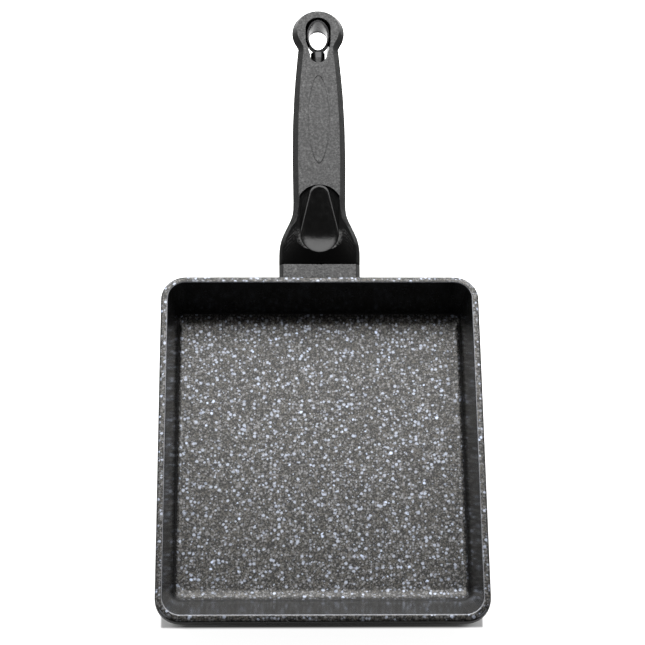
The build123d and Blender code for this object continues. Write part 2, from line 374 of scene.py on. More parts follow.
def hermite(start: Flat, end: Flat, slopes: Flat, at: float) -> float:
    """Height at one place of a smooth line between two points with given slopes.

    Args:
        start: Place and height of the first point.
        end: Place and height of the second point.
        slopes: The slopes at the two points.
        at: The place.

    Returns:
        The height there.
    """
    run = end[0] - start[0]
    t = min(1.0, max(0.0, (at - start[0]) / run))
    rise = end[1] - start[1]
    ease = t * t * (3 - 2 * t)
    leave = run * slopes[0] * t * (1 - t) ** 2
    arrive = run * slopes[1] * t * t * (t - 1)
    return start[1] + rise * ease + leave + arrive


def along_table(table: Sequence[Flat], at: float) -> float:
    """Read a smooth line through a table of places and values.

    Args:
        table: Pairs of place and value, places rising.
        at: The place to read.

    Returns:
        The value there.
    """
    if at <= table[0][0]:
        return table[0][1]
    if at >= table[-1][0]:
        return table[-1][1]
    slopes = []
    for i in range(len(table)):
        before = table[max(0, i - 1)]
        after = table[min(len(table) - 1, i + 1)]
        slopes.append((after[1] - before[1]) / (after[0] - before[0]))
    for i in range(len(table) - 1):
        if at <= table[i + 1][0]:
            return hermite(table[i], table[i + 1], (slopes[i], slopes[i + 1]), at)
    return table[-1][1]


def arc(centre: Flat, radius: float, start: float, end: float, count: int) -> list[Flat]:
    """Points of an arc, from one angle to another, in degrees from the cross axis.

    Args:
        centre: The arc's centre.
        radius: Its radius.
        start: Its first angle.
        end: Its last angle.
        count: How many points it has.

    Returns:
        The points.
    """
    points = []
    for k in range(count):
        angle = radians(start + (end - start) * k / (count - 1))
        points.append((centre[0] + radius * cos(angle), centre[1] + radius * sin(angle)))
    return points


def both_sides(half: Sequence[Point]) -> list[Point]:
    """Close a right-hand half line with its mirror image on the left."""
    return list(half) + [(-x, y, z) for x, y, z in reversed(half)]


@dataclass(frozen=True)
class HandleFrame:
    """The frame that the handle's pieces are drawn in, before they are set in place."""

    start: Point = (0, 0.105, 0.030)
    tilt: float = 6.3
    rod_height: float = -8.548 * MM
    rod_setback: float = -0.944 * MM
    rod_tilt: float = 4.13
    sides: int = 64

    def place(self, piece: Object) -> Object:
        """Turn and move a piece from the handle's frame into the part's frame."""
        turn = Matrix.Rotation(radians(self.tilt), 4, "X")
        return settle(piece, Matrix.Translation(self.start) @ turn)

    def on_rod(self, distance: float) -> Vector:
        """A point of the rod's axis, at a distance from the boss."""
        turn = Matrix.Rotation(radians(self.rod_tilt), 3, "X")
        return Vector((0, self.rod_setback, self.rod_height)) + turn @ Vector((0, distance, 0))

    def lay_on_rod(self, piece: Object, distance: float) -> Object:
        """Turn a piece along the rod and move it to a distance from the boss."""
        turn = Matrix.Rotation(radians(self.rod_tilt), 4, "X")
        return settle(piece, Matrix.Translation(self.on_rod(distance)) @ turn)

    def rod_block(self, name: str, size: Flat, start: float, end: float) -> Object:
        """Add a block on the rod's axis, of a width and height, from one place to another."""
        block = add_block(name, (size[0], end - start, size[1]))
        return self.lay_on_rod(block, (start + end) / 2)

    def rod_cylinder(self, name: str, radius: float, start: float, end: float) -> Object:
        """Add a cylinder on the rod's axis, in the handle's frame.

        Args:
            name: The cylinder's name.
            radius: Its radius.
            start: How far from the boss it starts.
            end: How far from the boss it ends.

        Returns:
            The cylinder.
        """
        middle = (self.on_rod(start) + self.on_rod(end)) / 2
        bpy.ops.object.select_all(action="DESELECT")
        bpy.ops.mesh.primitive_cylinder_add(
            vertices=self.sides,
            radius=radius,
            depth=end - start,
            location=middle,
            rotation=(radians(self.rod_tilt - 90), 0, 0),
        )
        piece = bpy.context.object
        piece.name = name
        bpy.ops.object.transform_apply(location=True, rotation=True, scale=True)
        return piece


HANDLE_FRAME = HandleFrame()


# Finishes


class Sheet:
    """A material's node sheet, with short ways to add and join nodes."""

    def __init__(self, name: str) -> None:
        """Start a sheet with one shader joined to the output.

        Args:
            name: The material's name.
        """
        self.material: Material = bpy.data.materials.new(name)
        self.material.use_nodes = True
        self.tree = self.material.node_tree
        self.shader = self.tree.nodes["Principled BSDF"]

    def add(self, kind: str, inputs: dict[Any, Any] | None = None, **settings: Any) -> Any:
        """Add a node.

        Args:
            kind: The node's type name, without its ShaderNode prefix.
            inputs: Values or output sockets for the node's inputs, by name or number.
            settings: The node's own settings.

        Returns:
            The node.
        """
        node = self.tree.nodes.new(f"ShaderNode{kind}")
        for key, value in settings.items():
            setattr(node, key, value)
        for key, value in (inputs or {}).items():
            self.put(node.inputs[key], value)
        return node

    def put(self, socket: Any, value: Any) -> None:
        """Join an output to a socket, or write a value on it.

        Args:
            socket: The input socket.
            value: The output or value.
        """
        if isinstance(value, bpy.types.NodeSocket):
            self.tree.links.new(value, socket)
        else:
            socket.default_value = value

    def sums(self, operation: str, first: Any, second: Any = 0.0) -> Any:
        """Add a math node and return its output."""
        return self.add("Math", {0: first, 1: second}, operation=operation).outputs[0]

    def times(self, *factors: Any) -> Any:
        """Multiply outputs or values and return the output."""
        return reduce(lambda first, second: self.sums("MULTIPLY", first, second), factors)

    def vector(self, operation: str, first: Any, second: Any = (0, 0, 0)) -> Any:
        """Add a vector math node and return its vector."""
        return self.add("VectorMath", {0: first, 1: second}, operation=operation).outputs[0]

    def blend(self, share: Any, low: Any, high: Any) -> Any:
        """Mix two colours and return the output."""
        return self.add("Mix", {0: share, 6: low, 7: high}, data_type="RGBA").outputs[2]

    def spread(self, value: Any, low: Any, high: Any, to_low: float, to_high: float) -> Any:
        """Map a range to another with soft ends.

        Args:
            value: The value to map.
            low: Where the range starts.
            high: Where it ends.
            to_low: What its start becomes.
            to_high: What its end becomes.

        Returns:
            The output.
        """
        ends = {"Value": value, "From Min": low, "From Max": high}
        ends |= {"To Min": to_low, "To Max": to_high}
        return self.add("MapRange", ends, interpolation_type="SMOOTHSTEP").outputs["Result"]

    def place(self) -> Any:
        """The object coordinates' output."""
        return self.add("TexCoord").outputs["Object"]

    def noise(self, place: Any, pitch: float, detail: float = 3.0, rough: float = 0.5) -> Any:
        """Add a noise of a pitch in metres and return its value."""
        ways = {"Vector": place, "Scale": 1 / pitch, "Detail": detail, "Roughness": rough}
        return self.add("TexNoise", ways).outputs["Fac"]

    def facing(self) -> Any:
        """The outputs of how far the surface faces along each axis."""
        normal = self.add("NewGeometry").outputs["True Normal"]
        return self.add("SeparateXYZ", {0: normal}).outputs

    def relief(self, height: Any, depth: float, strength: float = 1.0) -> None:
        """Give the shader a bump of a real depth, in metres."""
        node = self.add("Bump", {"Height": height, "Distance": depth, "Strength": strength})
        self.put(self.shader.inputs["Normal"], node.outputs["Normal"])

    def set(self, **values: Any) -> None:
        """Set the shader's inputs, by names with spaces as underscores."""
        for key, value in values.items():
            self.put(self.shader.inputs[key.replace("_", " ")], value)


@dataclass(frozen=True)
class FleckLayer:
    """One size of flecks in the coating, with its colour."""

    pitch: float
    radius: float
    density: float
    strength: float
    colour: Colour


@dataclass(frozen=True)
class SpeckledCoat:
    """Dark non-stick coating with pale mineral flecks of several sizes, all but left off the steep
    walls as painted shade.
    """

    ground: Colour = (0.006, 0.006, 0.006, 1)
    roughness: float = 0.33
    wall_roughness: float = 0.15
    layers: tuple[FleckLayer, ...] = (
        FleckLayer(0.85 * MM, 0.95, 0.92, 0.90, (0.105, 0.098, 0.086, 1)),
        FleckLayer(1.35 * MM, 0.75, 0.75, 0.95, (0.190, 0.190, 0.195, 1)),
        FleckLayer(2.20 * MM, 0.55, 0.55, 1.00, (0.340, 0.370, 0.440, 1)),
        FleckLayer(3.60 * MM, 0.36, 0.46, 1.00, (0.550, 0.620, 0.780, 1)),
    )
    metal_share: float = 0.45
    gloss: float = 0.36
    stir: float = 1.3 * MM
    wobble: float = 1.1 * MM
    grain: float = 0.9 * MM
    fleck_relief: float = 0.35
    depth: float = 0.02 * MM
    worn_and_lit: Colour = (0.200, 0.205, 0.220, 1)
    arris_wear_and_highlight: float = 0.95
    arris_from: float = 31.6 * MM
    arris_within: Flat = (87.2 * MM, 101.2 * MM)
    arris_turned: Range = (0.90, 0.99, 1.0, 0.0)
    arris_rising: Flat = (0.60, 0.75)
    least_radius: float = 0.45
    least_force: float = 0.35
    full_part: float = 0.5
    level: Range = (0.60, 0.92, 0.03, 1.0)
    level_gloss: Flat = (0.60, 0.95)
    uneven: Range = (0.3, 0.7, -0.03, 0.05)
    detail: float = 2.0
    relief_strength: float = 0.35

    def fleck(self, sheet: Sheet, place: Any, layer: FleckLayer) -> Any:
        """Make one size of flecks.

        Args:
            sheet: The node sheet.
            place: The coordinates' output.
            layer: The size, density and strength of the flecks.

        Returns:
            The output of the flecks' mask.
        """
        ways = {"Vector": place, "Scale": 1 / layer.pitch, "Randomness": 1.0}
        cells = sheet.add("TexVoronoi", ways, feature="F1")
        random = sheet.add("SeparateColor", {0: cells.outputs["Color"]})
        shown = sheet.sums("LESS_THAN", random.outputs[0], layer.density)
        least = layer.radius * self.least_radius
        reach = sheet.spread(random.outputs[1], 0.0, 1.0, least, layer.radius)
        inner = sheet.sums("MULTIPLY", reach, self.full_part)
        spot = sheet.spread(cells.outputs["Distance"], inner, reach, 1.0, 0.0)
        force = sheet.spread(random.outputs[2], 0.0, 1.0, self.least_force, layer.strength)
        return sheet.times(shown, spot, force)

    def mask_arris_wear_and_highlight(self, sheet: Sheet, place: Any, upright: Any) -> Any:
        """Mask the rounded edge between the walls and the rim, where the coat is rubbed and its
        highlight line is painted paler.

        Args:
            sheet: The node sheet.
            place: The coordinates' output.
            upright: How far the surface faces up.

        Returns:
            The output of the mask.
        """
        axis = sheet.add("SeparateXYZ", {0: place}).outputs
        high = sheet.sums("GREATER_THAN", axis["Z"], self.arris_from)
        across = sheet.sums("LESS_THAN", sheet.sums("ABSOLUTE", axis["X"]), self.arris_within[0])
        along = sheet.sums("LESS_THAN", sheet.sums("ABSOLUTE", axis["Y"]), self.arris_within[1])
        turned = sheet.spread(upright, *self.arris_turned)
        rising = sheet.spread(upright, *self.arris_rising, 0.0, self.arris_wear_and_highlight)
        return sheet.times(high, across, along, turned, rising)

    def make(self) -> Material:
        """Build the material.

        Returns:
            The material.
        """
        sheet = Sheet("speckled_coat")
        place = sheet.place()
        ways = {"Vector": place, "Scale": 1 / self.stir, "Detail": self.detail}
        wobble = sheet.add("TexNoise", ways)
        shift = sheet.vector("SUBTRACT", wobble.outputs["Color"], (0.5, 0.5, 0.5))
        scaled = sheet.add("VectorMath", {0: shift, "Scale": self.wobble}, operation="SCALE")
        moved = sheet.vector("ADD", place, scaled.outputs[0])
        upright = sheet.facing()["Z"]
        # Painted shade: the flecks are all but taken off the steep walls, so the walls stay as
        # dark as the shade that falls on them.
        level = sheet.spread(upright, *self.level)
        colour: Any = self.ground
        mask: Any = None
        for layer in self.layers:
            spot = sheet.times(self.fleck(sheet, moved, layer), level)
            colour = sheet.blend(spot, colour, layer.colour)
            mask = spot if mask is None else sheet.sums("MAXIMUM", mask, spot)
        # Painted highlight: the rim's rounded inner edge is made paler, standing both for rubbed
        # coat and for the bright line the light draws along it.
        worn_and_lit = self.mask_arris_wear_and_highlight(sheet, place, upright)
        mask = sheet.sums("MAXIMUM", mask, worn_and_lit)
        grain = sheet.noise(place, self.grain, self.detail)
        walls, floor = self.wall_roughness, self.roughness
        rough = sheet.spread(upright, *self.level_gloss, walls, floor)
        sheet.set(
            Base_Color=sheet.blend(worn_and_lit, colour, self.worn_and_lit),
            Metallic=sheet.times(mask, self.metal_share),
            Roughness=sheet.sums("ADD", rough, sheet.spread(grain, *self.uneven)),
            Specular_IOR_Level=self.gloss,
        )
        ways = {0: mask, 1: self.fleck_relief, 2: grain}
        height = sheet.add("Math", ways, operation="MULTIPLY_ADD").outputs[0]
        sheet.relief(height, self.depth, self.relief_strength)
        return sheet.material


@dataclass(frozen=True)
class OuterEnamel:
    """Smooth black paint on the outside of the vessel."""

    colour: Colour = (0.006, 0.006, 0.006, 1)
    roughness: float = 0.30
    peel: float = 1.6 * MM
    cloud: float = 30 * MM
    depth: float = 0.02 * MM
    gloss: float = 0.3
    uneven: Flat = (-0.04, 0.08)
    cloudy: Flat = (0.3, 0.7)
    detail: float = 2.0
    relief_strength: float = 0.6

    def make(self) -> Material:
        """Build the material.

        Returns:
            The material.
        """
        sheet = Sheet("outer_enamel")
        place = sheet.place()
        peel = sheet.noise(place, self.peel, self.detail)
        cloud = sheet.noise(place, self.cloud)
        low, high = (self.roughness + more for more in self.uneven)
        rough = sheet.spread(cloud, *self.cloudy, low, high)
        sheet.set(Base_Color=self.colour, Roughness=rough, Specular_IOR_Level=self.gloss)
        sheet.relief(peel, self.depth, self.relief_strength)
        return sheet.material


@dataclass(frozen=True)
class GroundPad:
    """Bare turned aluminium under the vessel."""

    colour: Colour = (0.60, 0.60, 0.61, 1)
    groove_pitch: float = 14 * MM
    scuff: float = 12 * MM
    depth: float = 0.02 * MM
    distortion: float = 0.4
    detail: float = 5.0
    rough: Range = (0.3, 0.7, 0.28, 0.48)
    relief_strength: float = 0.6

    def make(self) -> Material:
        """Build the material.

        Returns:
            The material.
        """
        sheet = Sheet("ground_pad")
        place = sheet.place()
        ways = {"Vector": place, "Scale": 1 / self.groove_pitch, "Distortion": self.distortion}
        rings = sheet.add("TexWave", ways, wave_type="RINGS", rings_direction="Z")
        scuff = sheet.noise(place, self.scuff, self.detail)
        rough = sheet.spread(scuff, *self.rough)
        sheet.set(Base_Color=self.colour, Metallic=1.0, Roughness=rough)
        sheet.relief(rings.outputs["Fac"], self.depth, self.relief_strength)
        return sheet.material


@dataclass(frozen=True)
class Resin:
    """Moulded phenolic resin with a fine leathery grain and pale scuffs, shown only on lit faces
    as painted sheen.
    """

    name: str = "handle_resin"
    colour: Colour = (0.005, 0.005, 0.005, 1)
    worn_and_lit: Colour = (0.115, 0.115, 0.115, 1)
    roughness: float = 0.16
    gloss: float = 0.28
    grain: float = 1.0
    scuffs: float = 1.0
    fine: float = 1.3 * MM
    broad: float = 4 * MM
    streak: float = 2.2 * MM
    streak_turn: float = 38.0
    streak_stretch: Point = (1.0, 0.35, 1.0)
    depth: float = 0.06 * MM
    fine_detail: Flat = (3.0, 0.7)
    broad_detail: Flat = (4.0, 0.65)
    streak_detail: Flat = (4.0, 0.7)
    specks: Flat = (0.38, 0.68)
    speck_wear: float = 0.50
    patches: Range = (0.42, 0.66, 0.25, 1.0)
    scratches: Flat = (0.50, 0.72)
    scratch_wear: float = 0.7
    upper: Range = (0.85, 0.98, 0.10, 1.0)
    lit_facing: Range = (-0.22, -0.15, 0.0, 1.0)
    cloudy: Flat = (0.3, 0.7)
    uneven: float = 0.08

    def make(self) -> Material:
        """Build the material.

        Returns:
            The material.
        """
        sheet = Sheet(self.name)
        place = sheet.place()
        fine = sheet.noise(place, self.fine, *self.fine_detail)
        broad = sheet.noise(place, self.broad, *self.broad_detail)
        along = sheet.add("Mapping", {"Vector": place, "Scale": self.streak_stretch})
        along.inputs["Rotation"].default_value = (0, 0, radians(self.streak_turn))
        streak = sheet.noise(along.outputs[0], self.streak, *self.streak_detail)
        speck = sheet.spread(fine, *self.specks, 0.0, self.speck_wear * self.scuffs)
        patch = sheet.spread(broad, *self.patches)
        scratch = sheet.spread(streak, *self.scratches, 0.0, self.scratch_wear * self.scuffs)
        wear = sheet.sums("ADD", speck, sheet.times(patch, scratch))
        # Painted light: the pale scuffs are kept to up-facing faces and cut off faces turned to
        # the front, so the top reads lit and the front slopes read shaded.
        facing = sheet.facing()
        upper = sheet.spread(facing["Z"], *self.upper)
        lit_facing = sheet.spread(facing["Y"], *self.lit_facing)
        rough = (self.roughness, self.roughness + self.uneven)
        sheet.set(
            Base_Color=sheet.blend(sheet.times(wear, upper, lit_facing), self.colour, self.worn_and_lit),
            Roughness=sheet.spread(broad, *self.cloudy, *rough),
            Specular_IOR_Level=self.gloss,
        )
        sheet.relief(fine, self.depth * self.grain, 1.0)
        return sheet.material


@dataclass(frozen=True)
class Metal:
    """A plain metal with fine wear in its roughness."""

    name: str
    colour: Colour
    low: float
    high: float
    grain: float = 3 * MM
    depth: float = 0.01 * MM
    detail: Flat = (4.0, 0.6)
    cloudy: Flat = (0.35, 0.7)
    relief_strength: float = 0.4

    def make(self) -> Material:
        """Build the material.

        Returns:
            The material.
        """
        sheet = Sheet(self.name)
        place = sheet.place()
        wear = sheet.noise(place, self.grain, *self.detail)
        rough = sheet.spread(wear, *self.cloudy, self.low, self.high)
        sheet.set(Base_Color=self.colour, Metallic=1.0, Roughness=rough)
        sheet.relief(wear, self.depth, self.relief_strength)
        return sheet.material


@dataclass
class OneFinish:
    """A piece that has one finish all over."""

    smooth_angle: float = 35

    def dress(self, piece: Object, finish: Material) -> None:
        """Shade the piece and give it its finish all over."""
        smooth(piece, self.smooth_angle)
        piece.data.materials.append(finish)


# Vessel


@dataclass(frozen=True)
class Outline:
    """A rounded rectangle across the vessel."""

    width: float
    front: float
    back: float
    corner: float
    height: float

    def grown(self, side: float, front: float, back: float, corner: float, up: float) -> "Outline":
        """The outline moved out at its sides, front and back, and up.

        Args:
            side: How far each side moves out.
            front: How far the front moves out.
            back: How far the back moves out.
            corner: How much the corners' radius grows.
            up: How far the outline rises.

        Returns:
            The moved outline.
        """
        return Outline(
            self.width + 2 * side,
            self.front - front,
            self.back + back,
            self.corner + corner,
            self.height + up,
        )


@dataclass
class Vessel:
    """The cast pan: cavity, crowned rim, outside, ground pad, boss and tongue."""

    rim_width: float = 180 * MM
    rim_length: float = 208 * MM
    rim_height: float = 33 * MM
    rim_corner: float = 14 * MM
    rim_land: float = 4 * MM
    floor_height: float = 4 * MM
    wall: float = 3.6 * MM
    side_run: float = 5.6 * MM
    back_run: float = 8.0 * MM
    front_run: float = 20.3 * MM
    floor_corner: float = 4.5 * MM
    floor_round: float = 4.3 * MM
    far_round: float = 8.5 * MM
    front_round: float = 10 * MM
    lip_height: float = 4.5 * MM
    base_corner: float = 8 * MM
    base_round: float = 3.2 * MM
    pad_height: float = 0.6 * MM
    pad_inset: float = 6 * MM
    arris: float = 0.8 * MM
    lip_round: float = 2.0 * MM
    boss_width: float = 38 * MM
    boss_bottom: float = 13.5 * MM
    boss_top: float = 29.5 * MM
    boss_face: float = 105 * MM
    tongue_width: float = 26 * MM
    tongue_height: float = 11 * MM
    tongue_length: float = 19 * MM
    tongue_round: float = 1.5 * MM
    cavity_corner: float = 5.5 * MM
    corner_share: float = 0.8
    paint_drop: float = 1.6 * MM
    boss_round: float = 2 * MM
    tongue_root: float = 4 * MM
    steps: int = 12
    round_steps: int = 6
    soft_steps: int = 5
    base_steps: int = 6
    smooth_angle: float = 40
    side_facing: float = -0.05
    top_facing: float = 0.6
    crown: tuple[Flat, ...] = (
        (0.00 * MM, 1.75 * MM),
        (0.07 * MM, 1.25 * MM),
        (0.28 * MM, 0.82 * MM),
        (0.62 * MM, 0.50 * MM),
        (1.10 * MM, 0.28 * MM),
        (1.75 * MM, 0.15 * MM),
        (2.60 * MM, 0.06 * MM),
    )

    def ring(self, piece: Object, name: str, shape: Outline, keep_face: bool = False) -> None:
        """Add a rounded rectangle to the mesh in edit mode, as a named vertex group.

        Args:
            piece: The piece in edit mode.
            name: The group's name.
            shape: The outline.
            keep_face: Whether the outline stays closed with a face.
        """
        centre = (0, (shape.front + shape.back) / 2, shape.height)
        size = (shape.width, shape.back - shape.front, 1)
        bpy.ops.mesh.select_mode(type="VERT")
        bpy.ops.mesh.select_all(action="DESELECT")
        bpy.ops.mesh.primitive_plane_add(size=1, location=centre)
        bpy.ops.transform.resize(value=size, center_override=centre)
        bpy.ops.mesh.bevel(
            offset=shape.corner, segments=self.steps, profile=0.5, affect="VERTICES"
        )
        bpy.ops.object.vertex_group_assign_new()
        piece.vertex_groups.active.name = name
        if not keep_face:
            bpy.ops.mesh.delete(type="ONLY_FACE")

    def floor_edge(self) -> Outline:
        """Where the walls' planes meet the floor.

        Returns:
            The outline.
        """
        half = self.rim_length / 2
        return Outline(
            self.rim_width - 2 * (self.rim_land + self.side_run),
            -half + self.rim_land + self.front_run,
            half - self.rim_land - self.back_run,
            self.floor_corner,
            self.floor_height,
        )

    def wall_out(self, run: float, height: float) -> float:
        """How far the outer face stands out from the floor edge, at a height."""
        slope = run / (self.rim_height - self.floor_height)
        return slope * (height - self.floor_height) + self.wall * sqrt(1 + slope**2)

    def shape_cavity(self, piece: Object) -> list[str]:
        """Add the rings from the rim's inner edge down to the floor.

        Args:
            piece: The piece in edit mode.

        Returns:
            The rings' names, from the rim down.
        """
        depth = self.rim_height - self.floor_height
        floor = self.floor_edge()
        runs = (self.side_run, self.front_run, self.back_run)
        self.ring(piece, "inner_rim", floor.grown(*runs, self.cavity_corner, depth))
        names = ["inner_rim"]
        lean = [pi / 2 - atan2(run, depth) for run in runs]
        radii = (self.floor_round, self.front_round, self.far_round)
        for k in range(self.round_steps, -1, -1):
            share = k / self.round_steps
            out, rise = [], []
            for angle, radius in zip(lean, radii):
                start = radius * tan(angle / 2)
                out.append(radius * sin(angle * share) - start)
                rise.append(radius * (1 - cos(angle * share)))
            name = f"floor_round_{k}"
            shape = floor.grown(*out, out[0] * self.corner_share, rise[0])
            self.ring(piece, name, shape, keep_face=k == 0)
            self.lift_front(piece, name, shape, rise[1] - rise[0])
            names.append(name)
        return names

    def lift_front(self, piece: Object, name: str, shape: Outline, rise: float) -> None:
        """Tip the front of a ring up, where the front wall has its larger round.

        Args:
            piece: The piece in edit mode.
            name: The ring's name.
            shape: The ring's outline.
            rise: How far its front edge rises.
        """
        if rise < HAIR:
            return
        hinge = shape.front + shape.corner
        pick_groups(piece, name)
        mesh = bmesh.from_edit_mesh(piece.data)
        for vertex in mesh.verts:
            vertex.select_set(vertex.select and vertex.co.y < hinge + HAIR)
        mesh.select_flush_mode()
        bmesh.update_edit_mesh(piece.data)
        bpy.ops.transform.rotate(
            value=atan2(rise, shape.corner),
            orient_axis="X",
            center_override=(0, hinge, shape.height),
        )

    def shape_outside(self, piece: Object) -> list[str]:
        """Add the rings from the rim's crown down to the ground pad.

        Args:
            piece: The piece in edit mode.

        Returns:
            The rings' names, from the rim down.
        """
        half = self.rim_length / 2
        rim = Outline(self.rim_width, -half, half, self.rim_corner, self.rim_height)
        names = []
        for k, (inset, drop) in reversed(list(enumerate(self.crown))):
            name = f"crown_{k}"
            self.ring(piece, name, rim.grown(-inset, -inset, -inset, -inset, -drop))
            names.append(name)
        self.ring(piece, "lip_foot", rim.grown(0, 0, 0, 0, -self.lip_height))
        floor = self.floor_edge()
        base = Outline(
            floor.width + 2 * self.wall_out(self.side_run, self.pad_height),
            floor.front - self.wall_out(self.front_run, self.pad_height),
            floor.back + self.wall_out(self.back_run, self.pad_height),
            self.base_corner,
            self.pad_height,
        )
        inset = self.pad_inset
        pad = base.grown(-inset, -inset, -inset, 0, 0)
        self.ring(piece, "base", base)
        self.ring(piece, "pad_top", pad)
        self.ring(piece, "pad", pad.grown(0, 0, 0, 0, -self.pad_height), keep_face=True)
        return names + ["lip_foot", "base", "pad_top", "pad"]

    def build(self) -> Object:
        """Build the vessel's mesh.

        Returns:
            The vessel.
        """
        bpy.ops.object.select_all(action="DESELECT")
        bpy.ops.mesh.primitive_plane_add(size=1)
        piece = bpy.context.object
        piece.name = "vessel"
        open_mesh(piece)
        bpy.ops.mesh.select_all(action="SELECT")
        bpy.ops.mesh.delete(type="VERT")
        inside = self.shape_cavity(piece)
        outside = self.shape_outside(piece)
        chain = list(reversed(inside)) + outside
        for first, second in zip(chain, chain[1:]):
            bridge(piece, first, second)
        for name, width, steps in (
            ("inner_rim", self.arris, self.soft_steps),
            ("base", self.base_round, self.base_steps),
            ("lip_foot", self.lip_round, self.soft_steps),
        ):
            pick_groups(piece, name)
            soften(width, steps)
        close_mesh()
        tidy_mesh(piece)
        for block in (self.boss(), self.tongue()):
            combine(piece, block, Cut.ADD)
        return piece

    def block(self, name: str, size: Point, centre: Point, edge: float) -> Object:
        """Add a block with rounded long edges, the long way along Y.

        Args:
            name: The block's name.
            size: Its size along each axis.
            centre: Its middle.
            edge: The edges' radius.

        Returns:
            The block.
        """
        piece = add_block(name, size, centre)
        open_mesh(piece)
        pick(piece, Kind.EDGE, lambda e: is_long(e, size[1] / 2))
        soften(edge, self.soft_steps)
        close_mesh()
        return piece

    def boss(self) -> Object:
        """The boss that the handle is clamped to, from inside the back wall out.

        Returns:
            The boss.
        """
        slope = self.back_run / (self.rim_height - self.floor_height)
        rise = self.boss_bottom - self.floor_height
        inner = self.floor_edge().back + slope * rise + self.wall / 2
        length = self.boss_face - inner
        height = self.boss_top - self.boss_bottom
        centre = (0, inner + length / 2, self.boss_bottom + height / 2)
        piece = self.block("boss", (self.boss_width, length, height), centre, self.boss_round)
        open_mesh(piece)
        near = inner + HAIR
        pick(piece, Kind.VERT, lambda v: v.co.y < near and v.co.z > centre[2])
        bpy.ops.transform.translate(value=(0, slope * height, 0))
        close_mesh()
        return piece

    def tongue(self) -> Object:
        """Add the tongue that goes into the handle, along the rod.

        Returns:
            The tongue.
        """
        length = self.tongue_length + self.tongue_root
        size = (self.tongue_width, length, self.tongue_height)
        centre = (0, length / 2 - self.tongue_root, 0)
        piece = self.block("tongue", size, centre, self.tongue_round)
        return HANDLE_FRAME.place(HANDLE_FRAME.lay_on_rod(piece, 0))

    def dress(self, piece: Object, finishes: Sequence[Material]) -> None:
        """Give the inside, the outside and the ground pad their finishes.

        Args:
            piece: The vessel.
            finishes: Its coat, its paint and its bare metal.
        """
        smooth(piece, self.smooth_angle)
        for finish in finishes:
            piece.data.materials.append(finish)
        half = self.rim_length / 2

        def is_painted(face: BMFace) -> bool:
            """Whether a face is painted like the outside."""
            middle, up = face.calc_center_median(), face.normal.z
            past_rim = abs(middle.x) > self.rim_width / 2 - self.rim_land
            past_rim = past_rim or abs(middle.y) > half - self.rim_land
            low = middle.z < self.rim_height - self.paint_drop
            below = low and (past_rim or up < self.side_facing)
            return below or (past_rim and up < self.top_facing)

        open_mesh(piece)
        tests = (is_painted, lambda face: face.calc_center_median().z < HAIR)
        for slot, test in enumerate(tests, 1):
            pick(piece, Kind.FACE, test)
            piece.active_material_index = slot
            bpy.ops.object.material_slot_assign()
        close_mesh()


# Handle


